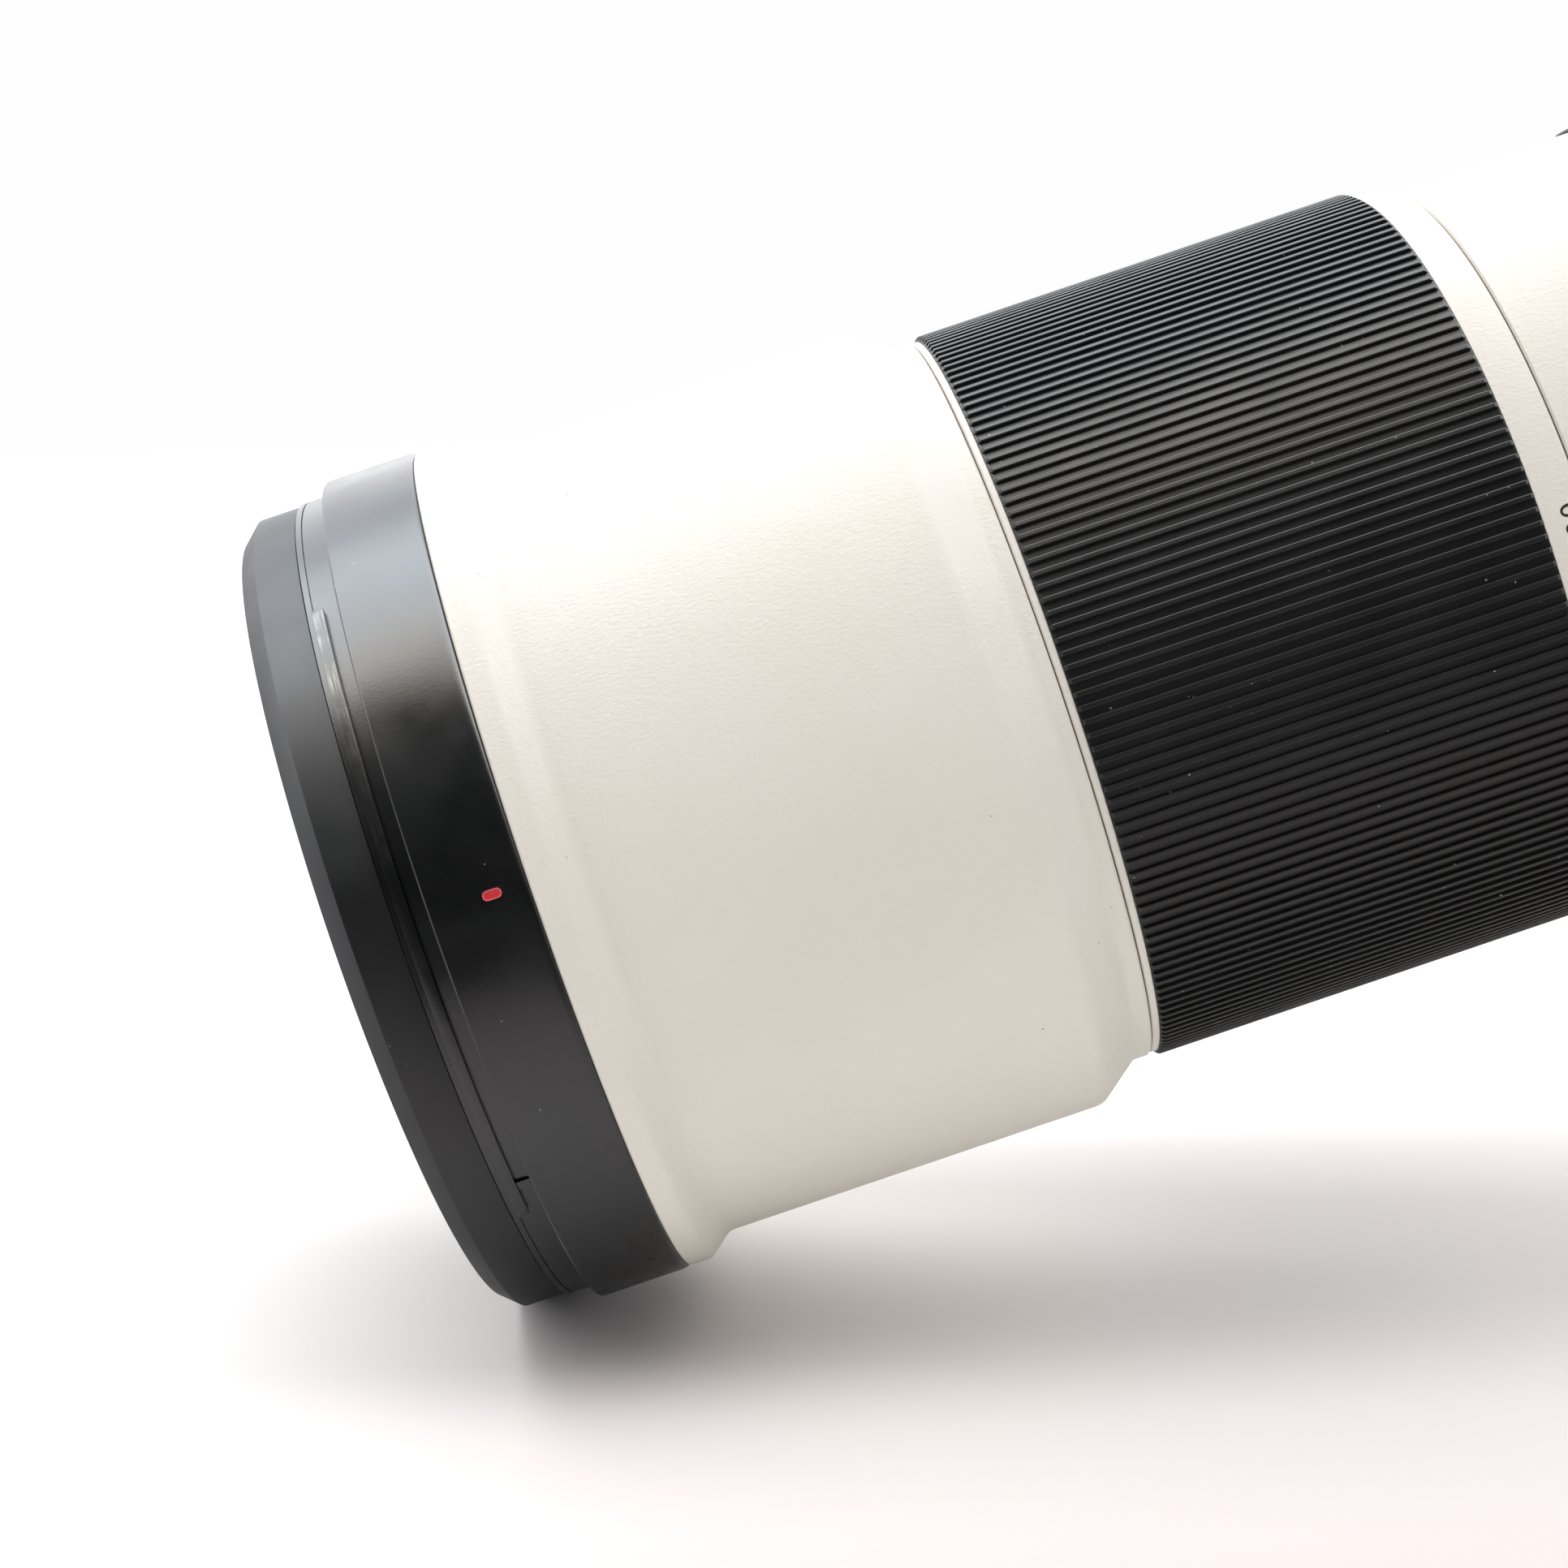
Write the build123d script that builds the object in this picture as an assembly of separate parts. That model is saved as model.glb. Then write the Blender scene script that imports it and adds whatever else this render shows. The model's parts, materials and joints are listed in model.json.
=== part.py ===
from build123d import *
import math
import os

# Frame: millimetres, origin at the centre of the camera flange, +X along the
# optical axis towards the camera, +Z up and away from the tripod foot.
# Clock angles turn about +X, from +Z towards -Y.

# Sections of the body, from the flange forwards
mount_plate_thickness = 4.0
rear_cover_length = 35.0
collar_seat_length = 24.6
switch_section_length = 30.0
focus_section_length = 25.0
button_section_length = 46.4
zoom_section_length = 64.6
front_barrel_length = 64.6
band_length = 11.7
bayonet_length = 4.4
rim_length = 7.7

# Barrel, and how far each other section stands proud of it
barrel_radius = 47.4
barrel_wall = 0.9
front_barrel_rise = 5.63
shoulder_rise = 1.5
grip_rise = 1.85

# How far the front rings stand proud of the front barrel
rim_rise = 0.77
bayonet_rise = 0.97
band_rise = 2.72
lip_rise = 2.57

# The lens lies turned in its collar, its top marks towards -Y
barrel_roll = 80.0

# Clearances and the overrun of cuts
running_clearance = 0.06
axial_clearance = 0.15
free_clearance = 0.3
cut_overrun = 1.0
edge_tolerance_share = 0.0005

# Tubes
main_tube_wall = 1.6
main_tube_lead = 18.0
main_flange_length = 3.0
cam_tube_wall = 1.5
guide_tube_wall = 1.6
guide_flange_length = 4.0
guide_tube_length = 96.0
guide_tube_lead = 4.0
cam_end_gap = 0.3

# Rim and filter thread
rim_chamfer_length = 2.3
rim_chamfer_height = 2.1
rim_land = 1.6
rim_mouth_length = 2.0
filter_thread_wall = 6.3
filter_thread_length = 4.5
rim_sleeve_length = 22.0
rim_sleeve_wall = 1.6

# Hood bayonet
bayonet_step_length = 0.9
bayonet_lug_length = 1.4
bayonet_lug_rise = 1.2
bayonet_lug_clocks = (0.0, 126.0, -126.0)
bayonet_lug_angles = (87.4, 66.0, 66.0)
bayonet_channel_sunk = 0.5
bayonet_channel_bevel = 0.2
bayonet_stop_angle = 1.4
bayonet_stop_offset = 38.5
band_edge_bevel = 0.35
index_mark_length = 2.3
index_mark_width = 1.2
index_mark_depth = 0.6
index_mark_setback = 4.3

# Front barrel
lip_length = 3.0
lip_cove_length = 3.1
shoulder_length = 5.5
shoulder_land_length = 2.2
front_barrel_wall = 1.85
barrel_edge_bevel = 0.25

# Front glass
bezel_length = 5.0
bezel_setback = 3.0
bezel_lip = 1.2
bezel_overlap = 1.4
front_glass_edge = 4.5
front_glass_curve = 150.0
front_glass_rear_curve = 620.0
front_glass_gap = 8.5
flint_glass_edge = 8.0
flint_front_curve = 210.0
cemented_curve = 118.0
crown_glass_edge = 2.5
crown_rear_curve = 900.0
front_cell_wall = 1.5
front_cell_clearance = 4.48
front_cell_length = 38.0
front_cell_flange = 4.0
front_cell_flange_spacing = 12.0
front_cell_flange_setback = 20.0

# Zoom ring and grip
zoom_lip_length = 0.95
zoom_lip_rise = 1.28
zoom_sleeve_rise = 0.5
zoom_cone_length = 5.45
zoom_cone_front_rise = 1.47
zoom_cone_rear_rise = 0.15
grip_rib_count = 186
grip_rib_share = 0.6
grip_rib_taper_share = 0.06
grip_groove_depth = 0.7
grip_rim_length = 0.6
zoom_turn = 70.0

# Zoom key
zoom_key_length = 6.0
zoom_key_width = 5.0
zoom_key_setback = 12.0

# Zoom groups
roller_radius = 2.0
roller_count = 3
roller_clearance = 0.08
roller_setback = 6.0
group_wall = 2.0
variator_clock = 0.0
compensator_clock = 30.0
variator_travel = 34.0
variator_cell_length = 14.0
variator_web = 9.4
variator_glass_edge = 8.5
variator_front_curve = -160.0
variator_rear_curve = -150.0
compensator_travel = 10.0
compensator_cell_length = 11.0
compensator_web = 12.4
compensator_glass_edge = 3.0
compensator_front_curve = 88.0
compensator_rear_curve = 140.0
cell_disc_thickness = 2.4

# Focus hold buttons
hold_button_spacing = 90.0
hold_button_radius = 6.9
hold_button_proud = 0.5
hold_button_travel = 0.8
hold_button_sunk = 1.2
hold_button_bevel = 0.35
hold_button_gap = 0.15
hold_button_setback = 31.9

# Focus ring
focus_lip_length = 1.6
focus_lip_rise = 0.6
focus_grip_rise = 1.1
focus_rib_count = 150
focus_groove_depth = 0.6

# Switch panel and switches
panel_length = 25.0
panel_angle = 46.0
panel_height = 1.1
panel_bevel = 0.4
panel_clock = 90.0
switch_pitch_angle = 10.5
switch_length = 4.0
switch_width = 3.0
switch_height = 2.1
switch_side_gap = 0.15
switch_end_gap = 0.3
switch_bevel = 0.3
two_way_travel = 3.0
three_way_travel = 5.0

# Collar
collar_wall = 3.74
collar_bevel = 1.0
collar_boss_radius = 8.0
collar_boss_rise = 4.8
collar_shaft_radius = 3.0
collar_shaft_grip = 4.0
collar_knob_radius = 9.5
collar_knob_length = 12.0
collar_knob_ribs = 24
knob_groove_radius = 0.8
knob_edge_bevel = 0.8

# Foot pedestal, dovetail and foot
pedestal_half_width = 15.0
pedestal_height = 11.8
dovetail_neck_half = 7.0
dovetail_half = 9.0
dovetail_depth = 9.0
dovetail_ledge = 2.5
dovetail_stop = 3.0
foot_drop = 43.0
foot_half_width = 18.0
foot_plate_thickness = 13.0
foot_length = 121.0
foot_edge_bevel = 1.6
foot_nose_rise = 1.5
foot_nose_length = 3.0
foot_bend_radius = 14.0
foot_heel_radius = 12.0
foot_tip_radius = 6.0
foot_bush_radius = 6.5
foot_bush_length = 10.0
small_thread_radius = 3.175
large_thread_radius = 4.76
small_thread_setback = 42.0
thread_spacing = 26.0
lock_knob_radius = 5.5
lock_knob_ribs = 14
lock_knob_length = 8.0
lock_shaft_radius = 2.5

# Stabiliser
stabiliser_plate = 2.5
stabiliser_frame_gap = 4.9
stabiliser_frame_width = 10.0
stabiliser_cell_width = 11.0
stabiliser_opening_width = 3.0
stabiliser_glass_edge = 3.0
stabiliser_front_curve = -120.0
stabiliser_rear_curve = 95.0
stabiliser_travel = 0.8

# Iris
iris_gap = 3.0
iris_rim_wall = 2.0
iris_plate = 1.6
iris_blade_count = 11
iris_blade_thickness = 0.12
iris_blade_pitch = 0.22
iris_blade_setback = 1.0
iris_blade_width = 7.0
iris_blade_angle = 64.0
iris_blade_tip_angle = 4.0
iris_pin_radius = 0.8
iris_chamber_length = 4.2

# Focus group
rod_radius = 1.5
rod_setback = 13.9
focus_lead = 8.0
focus_cell_length = 6.0
focus_cell_wall = 2.0
focus_boss_radius = 3.6
focus_boss_length = 9.0
focus_glass_radius = 20.0
focus_glass_edge = 3.2
focus_front_curve = 240.0
focus_rear_curve = -62.0
focus_motor_angle = 34.0
focus_motor_thickness = 8.9
focus_motor_length = 34.0
focus_arm_width = 7.0

# Rear group
rear_group_setback = 20.0
rear_plate_thickness = 3.0
rear_plate_width = 20.9
rear_cell_length = 34.0
rear_cell_wall = 2.0
rear_glass_edge = 4.0
rear_front_curve = 70.0
rear_middle_curve = -130.0
rear_last_curve = 96.0
rear_glass_setback = 3.0
rear_glass_gap = 9.0

# Rear cover, board and mount
rear_cover_wall = 2.0
rear_cover_spigot = 4.0
rear_cover_land = 7.0
rear_cover_land_rise = 1.6
rear_cover_tail_length = 6.0
rear_cover_tail_rise = 2.8
rear_cover_end_wall = 2.5
rear_cover_opening_share = 0.78
rear_cover_bevel = 0.5
board_setback = 3.0
board_thickness = 1.2
board_clearance = 5.0
board_chip_count = 6
board_chip_size = 5.0
board_chip_height = 1.0
mount_plate_radius = 30.8
mount_throat_radius = 19.4
mount_neck_radius = 21.8
mount_neck_length = 5.2
mount_relief_depth = 0.4
mount_relief_clearance = 0.4
mount_lug_rise = 1.2
mount_lug_start = 1.6
mount_lug_thickness = 1.3
mount_lug_angles = (56.0, 50.0, 44.0)
mount_lug_clocks = (0.0, 118.0, 242.0)
mount_edge_bevel = 0.3
seal_rise = 1.6
seal_length = 2.2
screw_count = 4
screw_circle_setback = 3.8
screw_first_clock = 45.0
screw_head_radius = 1.9
screw_shank_radius = 1.0
screw_head_depth = 1.1
baffle_width = 29.0
baffle_height = 21.0
baffle_length = 4.0
contact_count = 10
contact_pitch = 2.1
contact_radius = 0.7
contact_proud = 0.3
contact_sunk = 1.0
contact_block_depth = 2.2
contact_block_proud = 0.8
contact_block_margin = 1.6
contact_clock = 180.0

# Stations along the axis, worked out from the section lengths
x_flange = 0.0
x_cover_end = x_flange - mount_plate_thickness
x_collar_end = x_cover_end - rear_cover_length
x_collar_start = x_collar_end - collar_seat_length
x_switch_start = x_collar_start - switch_section_length
x_focus_start = x_switch_start - focus_section_length
x_zoom_end = x_focus_start - button_section_length
x_zoom_start = x_zoom_end - zoom_section_length
x_band_end = x_zoom_start - front_barrel_length
x_band_start = x_band_end - band_length
x_bayonet_start = x_band_start - bayonet_length
x_rim = x_bayonet_start - rim_length

# Radii, worked out from the barrel
front_barrel_radius = barrel_radius + front_barrel_rise
shoulder_radius = barrel_radius + shoulder_rise
grip_radius = barrel_radius + grip_rise
zoom_lip_radius = barrel_radius + zoom_lip_rise
zoom_sleeve_radius = barrel_radius + zoom_sleeve_rise
zoom_cone_front_radius = barrel_radius + zoom_cone_front_rise
zoom_cone_rear_radius = barrel_radius + zoom_cone_rear_rise
focus_lip_radius = barrel_radius + focus_lip_rise
focus_grip_radius = barrel_radius + focus_grip_rise
rear_cover_land_radius = barrel_radius + rear_cover_land_rise
rim_radius = front_barrel_radius + rim_rise
bayonet_radius = front_barrel_radius + bayonet_rise
band_radius = front_barrel_radius + band_rise
lip_radius = front_barrel_radius + lip_rise
bayonet_lug_radius = bayonet_radius + bayonet_lug_rise
bayonet_channel_radius = bayonet_radius - bayonet_channel_sunk
filter_thread_radius = rim_radius - filter_thread_wall
main_tube_radius = barrel_radius - barrel_wall
main_bore_radius = main_tube_radius - main_tube_wall
cam_tube_radius = main_bore_radius - free_clearance
cam_bore_radius = cam_tube_radius - cam_tube_wall
guide_tube_radius = cam_bore_radius - running_clearance
guide_bore_radius = guide_tube_radius - guide_tube_wall
group_radius = guide_bore_radius - running_clearance
roller_reach = cam_tube_radius - axial_clearance
zoom_bore_radius = main_tube_radius + running_clearance
collar_bore_radius = barrel_radius + running_clearance
collar_radius = collar_bore_radius + collar_wall
collar_boss_reach = collar_radius + collar_boss_rise
pedestal_reach = collar_radius + pedestal_height
foot_reach = pedestal_reach + foot_drop
front_bore_radius = front_barrel_radius - front_barrel_wall
front_cell_radius = front_bore_radius - front_cell_clearance
front_glass_radius = front_cell_radius - front_cell_wall
bezel_opening_radius = front_glass_radius - bezel_overlap
rim_bore_radius = front_cell_radius + axial_clearance
bezel_radius = rim_bore_radius - running_clearance
variator_glass_radius = group_radius - group_wall - variator_web
compensator_glass_radius = group_radius - group_wall - compensator_web
stabiliser_frame_radius = main_bore_radius - stabiliser_frame_gap
stabiliser_cell_radius = stabiliser_frame_radius - stabiliser_frame_width
stabiliser_glass_radius = stabiliser_cell_radius - stabiliser_cell_width
stabiliser_opening_radius = stabiliser_glass_radius + stabiliser_opening_width
iris_opening_radius = stabiliser_glass_radius
iris_blade_inner_radius = iris_opening_radius + iris_blade_setback
iris_blade_outer_radius = iris_blade_inner_radius + iris_blade_width
rod_circle_radius = main_bore_radius - rod_setback
focus_motor_inner_radius = main_bore_radius - focus_motor_thickness
rear_cell_radius = main_bore_radius - rear_plate_width
board_inner_radius = rear_cell_radius + board_clearance
mount_lug_radius = mount_neck_radius + mount_lug_rise
mount_relief_radius = mount_lug_radius + mount_relief_clearance
rear_cover_tail_radius = mount_plate_radius + rear_cover_tail_rise
rear_cover_opening_radius = mount_plate_radius * rear_cover_opening_share
seal_radius = mount_plate_radius + seal_rise
screw_circle_radius = mount_plate_radius - screw_circle_setback
button_floor_radius = main_tube_radius - hold_button_sunk
key_reach = zoom_sleeve_radius - free_clearance
rear_glass_radius = rear_cell_radius - rear_cell_wall
contact_circle_radius = mount_throat_radius - contact_block_depth / 2

x_bezel_start = x_rim + rim_mouth_length + filter_thread_length + bezel_setback
x_cell_start = x_bezel_start + bezel_length
x_main_end = x_collar_end
x_guide_start = x_zoom_start - guide_tube_lead
x_guide_end = x_guide_start + guide_tube_length
x_cam_start = x_guide_start + guide_flange_length + cam_end_gap
x_cam_end = x_guide_end - guide_flange_length - cam_end_gap
x_key_start = x_zoom_end - zoom_key_setback - zoom_key_length
x_variator = x_cam_start + roller_setback
x_compensator = x_cam_end - roller_setback
x_stabiliser = x_guide_end
x_iris = x_stabiliser + 3 * stabiliser_plate + 2 * axial_clearance + iris_gap
x_iris_end = x_iris + 2 * iris_plate + iris_chamber_length
x_focus_cell = x_iris_end + focus_lead
x_rear_plate = x_collar_end - rear_group_setback - rear_plate_thickness
x_board = x_collar_end - board_setback
x_button = x_zoom_end + hold_button_setback
x_switch_rest = (x_switch_start + x_collar_start - three_way_travel) / 2
x_groove_start = x_collar_start + axial_clearance + dovetail_stop
x_neck_start = x_groove_start + axial_clearance
x_foot_end = x_collar_end - axial_clearance
x_neck_end = mount_neck_length

key_clock = barrel_roll
collar_boss_clock = -90.0
hold_button_clocks = [barrel_roll + step * hold_button_spacing for step in (-1, 0, 1)]
switch_travels = (two_way_travel, three_way_travel, two_way_travel, three_way_travel)
group_tracks = (
    (x_variator, variator_travel, variator_clock),
    (x_compensator, -compensator_travel, compensator_clock),
)
bush_places = (x_foot_end - small_thread_setback - thread_spacing, x_foot_end - small_thread_setback)
lock_knob_height = -pedestal_reach + lock_knob_radius + free_clearance


def turned(corners):
    """Solid of revolution about the optical axis from (x, radius) corners."""
    return revolve(make_face(Polyline(*corners, close=True)), Axis.X)


def tube(x_start, x_end, outer, inner):
    return turned([(x_start, inner), (x_end, inner), (x_end, outer), (x_start, outer)])


def bevelled_tube(x_start, x_end, outer, inner, bevel):
    return turned([
        (x_start, inner),
        (x_end, inner),
        (x_end, outer - bevel),
        (x_end - bevel, outer),
        (x_start + bevel, outer),
        (x_start, outer - bevel),
    ])


def disc(x_start, x_end, radius):
    return turned([(x_start, 0), (x_end, 0), (x_end, radius), (x_start, radius)])


def clock(angle):
    """Turn a shape made at the top, +Z, to a clock angle of the row frame."""
    return Rot(angle, 0, 0)


def lens_clock(angle):
    """The same, counted from the lens's own top marks."""
    return Rot(barrel_roll + angle, 0, 0)


def arc_tube(x_start, x_end, outer, inner, middle_angle, span):
    """Part of a tube, its middle at a clock angle."""
    corners = ((x_start, inner), (x_end, inner), (x_end, outer), (x_start, outer))
    face = make_face(Polyline(*corners, close=True))
    return clock(middle_angle - span / 2 + 90) * revolve(face, Axis.X, span)


def radial_pin(x, inner, outer, radius, angle=0.0):
    """Round pin that stands out along a radius."""
    middle = (inner + outer) / 2
    return clock(angle) * Pos(x, 0, middle) * Cylinder(radius, outer - inner)


def radial_block(x_start, x_end, width, inner, outer, angle=0.0):
    """Block that stands out along a radius."""
    block = Box(x_end - x_start, width, outer - inner)
    return clock(angle) * Pos((x_start + x_end) / 2, 0, (inner + outer) / 2) * block


def around(shape, count, first=0.0):
    """Copies of a shape, evenly spaced about the axis."""
    return [clock(first + index * 360 / count) * shape for index in range(count)]


def sag(curve, radius):
    """Depth of a spherical surface at a radius; zero means flat."""
    if curve == 0:
        return 0.0
    return curve - math.copysign(math.sqrt(curve ** 2 - radius ** 2), curve)


def glass(x_front, rim, edge, front_curve, rear_curve):
    """Lens element; a positive curve bulges outwards, a negative one is hollow."""
    x_rear = x_front + edge
    front_pole = (x_front - sag(front_curve, rim), 0)
    rear_pole = (x_rear + sag(rear_curve, rim), 0)
    front_middle = (front_pole[0] + sag(front_curve, rim / 2), rim / 2)
    rear_middle = (rear_pole[0] - sag(rear_curve, rim / 2), rim / 2)
    outline = ThreePointArc(front_pole, front_middle, (x_front, rim))
    outline += Line((x_front, rim), (x_rear, rim))
    outline += ThreePointArc((x_rear, rim), rear_middle, rear_pole)
    outline += Line(rear_pole, front_pole)
    return revolve(make_face(outline), Axis.X)


def cam_slot(x_start, travel, angle):
    """Cutter for a cam slot whose roller stays at a clock angle while the tube turns."""
    width = 2 * (roller_radius + roller_clearance)
    middle = (cam_tube_radius + cam_bore_radius) / 2
    depth = cam_tube_wall + 2 * cut_overrun
    pitch = abs(travel) * 360 / zoom_turn
    path = Helix(pitch, abs(travel), middle, lefthand=travel < 0)
    section = Plane(path @ 0, x_dir=(1, 0, 0), z_dir=path % 0) * Rectangle(depth, width)
    along_z = sweep(section, path, is_frenet=True)
    low_end = min(x_start, x_start + travel)
    low_angle = angle if travel > 0 else angle + zoom_turn
    slot = Pos(low_end, 0, 0) * clock(low_angle + 180) * Rot(0, 90, 0) * along_z
    inner = cam_bore_radius - cut_overrun
    outer = cam_tube_radius + cut_overrun
    first_end = radial_pin(x_start, inner, outer, width / 2, angle)
    last_end = radial_pin(x_start + travel, inner, outer, width / 2, angle + zoom_turn)
    return [slot, first_end, last_end]


def keep(node, shape):
    """Write one node of the model."""
    shape.label = node
    export_step(shape, os.path.join("parts", node + ".step"))


def ribbed_tube(x_start, x_end, crest, groove_depth, inner, count, rim):
    """Rubber sleeve with straight ribs between two plain rims."""
    step = 2 * math.pi / count
    half_land = grip_rib_share / 2
    foot_share = half_land + grip_rib_taper_share
    groove_radius = crest - groove_depth
    corners = []
    for index in range(count):
        for share, radius in (
            (-foot_share, groove_radius),
            (-half_land, crest),
            (half_land, crest),
            (foot_share, groove_radius),
        ):
            angle = (index + share) * step
            corners.append((radius * math.cos(angle), radius * math.sin(angle)))
    section = make_face(Polyline(*corners, close=True)) - Circle(inner)
    ribbed = extrude(section, x_end - x_start - 2 * rim)
    ribs = Pos(x_start + rim, 0, 0) * Rot(0, 90, 0) * ribbed
    front_rim = tube(x_start, x_start + rim, crest, inner)
    rear_rim = tube(x_end - rim, x_end, crest, inner)
    return front_rim + ribs + rear_rim


def make_filter_ring():
    thread_start = x_rim + rim_mouth_length
    thread_end = thread_start + filter_thread_length
    sleeve_end = x_bayonet_start + rim_sleeve_length
    sleeve_bore = front_bore_radius - rim_sleeve_wall
    return turned([
        (x_rim, rim_radius - rim_chamfer_height),
        (x_rim + rim_chamfer_length, rim_radius),
        (x_bayonet_start, rim_radius),
        (x_bayonet_start, front_bore_radius),
        (sleeve_end, front_bore_radius),
        (sleeve_end, sleeve_bore),
        (x_cell_start, sleeve_bore),
        (x_cell_start, rim_bore_radius),
        (thread_end, rim_bore_radius),
        (thread_end, filter_thread_radius),
        (thread_start, filter_thread_radius),
        (x_rim, rim_radius - rim_chamfer_height - rim_land),
    ])


def make_hood_bayonet_ring():
    lug_start = x_bayonet_start + bayonet_step_length
    lug_end = lug_start + bayonet_lug_length
    channel_end = x_band_start - bayonet_channel_bevel
    ring = turned([
        (x_bayonet_start, front_bore_radius),
        (x_bayonet_start, bayonet_radius),
        (lug_start, bayonet_radius),
        (lug_start, bayonet_channel_radius),
        (channel_end, bayonet_channel_radius),
        (channel_end, band_radius - bayonet_channel_bevel),
        (x_band_start, band_radius),
        (x_band_end - band_edge_bevel, band_radius),
        (x_band_end, band_radius - band_edge_bevel),
        (x_band_end, front_bore_radius),
    ])
    for lug_clock, span in zip(bayonet_lug_clocks, bayonet_lug_angles):
        middle = barrel_roll + lug_clock
        ring += arc_tube(lug_start, lug_end, bayonet_lug_radius, front_bore_radius, middle, span)
    stop_clock = barrel_roll + bayonet_stop_offset
    ring += arc_tube(
        lug_end, channel_end, bayonet_radius, front_bore_radius, stop_clock, bayonet_stop_angle
    )
    return ring - index_mark_shape()


def index_mark_shape():
    x_middle = x_band_end - index_mark_setback
    slot = SlotOverall(index_mark_length, index_mark_width)
    cutter = extrude(slot, index_mark_depth + cut_overrun)
    standing = Pos(x_middle, 0, band_radius - index_mark_depth) * cutter
    return lens_clock(0) * standing & tube(x_band_start, x_band_end, band_radius, front_bore_radius)


def make_front_bezel():
    return turned([
        (x_bezel_start, bezel_radius),
        (x_bezel_start, bezel_radius - bezel_lip),
        (x_cell_start - bezel_lip, bezel_opening_radius),
        (x_cell_start, bezel_opening_radius),
        (x_cell_start, bezel_radius),
    ])


def make_front_cell():
    cell_end = x_cell_start + front_cell_length
    cell = tube(x_cell_start, cell_end, front_cell_radius, front_glass_radius)
    for index in range(2):
        flange_start = x_cell_start + front_cell_flange_setback + index * front_cell_flange_spacing
        cell += tube(flange_start, flange_start + front_cell_flange, front_bore_radius, front_glass_radius)
    return cell


def make_front_glasses():
    seat_gap = sag(front_glass_curve, front_glass_radius) - sag(front_glass_curve, bezel_opening_radius)
    x_first = x_cell_start + seat_gap
    x_flint = x_first + front_glass_edge + front_glass_gap
    x_crown = x_flint + flint_glass_edge
    first = glass(x_first, front_glass_radius, front_glass_edge, front_glass_curve, front_glass_rear_curve)
    flint = glass(x_flint, front_glass_radius, flint_glass_edge, flint_front_curve, -cemented_curve)
    crown = glass(x_crown, front_glass_radius, crown_glass_edge, cemented_curve, crown_rear_curve)
    return first, flint, crown


def make_front_barrel():
    cove_end = x_band_end + lip_length + lip_cove_length
    shoulder_end = x_zoom_start - shoulder_land_length
    shoulder_start = shoulder_end - shoulder_length
    neck_end = shoulder_end - front_barrel_wall
    neck_start = shoulder_start - front_barrel_wall
    return turned([
        (x_band_end, front_bore_radius),
        (x_band_end, lip_radius - barrel_edge_bevel),
        (x_band_end + barrel_edge_bevel, lip_radius),
        (x_band_end + lip_length, lip_radius),
        (cove_end, front_barrel_radius),
        (shoulder_start, front_barrel_radius),
        (shoulder_end, shoulder_radius),
        (x_zoom_start - barrel_edge_bevel, shoulder_radius),
        (x_zoom_start, shoulder_radius - barrel_edge_bevel),
        (x_zoom_start, main_tube_radius),
        (neck_end, main_tube_radius),
        (neck_start, front_bore_radius),
    ])


def make_main_tube():
    start = x_zoom_start - main_tube_lead
    flange_end = start + main_flange_length
    body = tube(start, x_main_end, main_tube_radius, main_bore_radius)
    body += tube(start, flange_end, front_bore_radius, main_bore_radius)
    half_width = math.degrees((zoom_key_width / 2 + free_clearance) / main_bore_radius)
    window_start = x_key_start - free_clearance
    window_end = x_key_start + zoom_key_length + free_clearance
    outer = main_tube_radius + cut_overrun
    inner = main_bore_radius - cut_overrun
    window_middle = key_clock - zoom_turn / 2
    body -= arc_tube(window_start, window_end, outer, inner, window_middle, zoom_turn + 2 * half_width)
    sunk_floor = button_floor_radius
    for angle in hold_button_clocks:
        well = radial_pin(x_button, sunk_floor, outer, hold_button_radius + hold_button_gap, angle)
        body -= well
    return body


def make_guide_tube():
    body = tube(x_guide_start, x_guide_end, guide_tube_radius, guide_bore_radius)
    body += tube(x_guide_start, x_guide_start + guide_flange_length, main_bore_radius, guide_bore_radius)
    body += tube(x_cam_end + cam_end_gap, x_guide_end, main_bore_radius, guide_bore_radius)
    width = 2 * (roller_radius + roller_clearance)
    inner = guide_bore_radius - cut_overrun
    outer = guide_tube_radius + cut_overrun
    for rest, travel, first in group_tracks:
        low = min(rest, rest + travel)
        high = max(rest, rest + travel)
        for index in range(roller_count):
            angle = first + index * 360 / roller_count
            body -= radial_block(low, high, width, inner, outer, angle)
            body -= radial_pin(low, inner, outer, width / 2, angle)
            body -= radial_pin(high, inner, outer, width / 2, angle)
    return body


def make_cam_tube():
    body = tube(x_cam_start, x_cam_end, cam_tube_radius, cam_bore_radius)
    for rest, travel, first in group_tracks:
        for index in range(roller_count):
            for cutter in cam_slot(rest, travel, first + index * 360 / roller_count):
                body -= cutter
    return body - key_block(cam_bore_radius - cut_overrun, cam_tube_radius + cut_overrun)


def key_block(inner, outer):
    return radial_block(x_key_start, x_key_start + zoom_key_length, zoom_key_width, inner, outer, key_clock)


def make_zoom_key():
    return key_block(cam_bore_radius + axial_clearance, key_reach)


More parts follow.
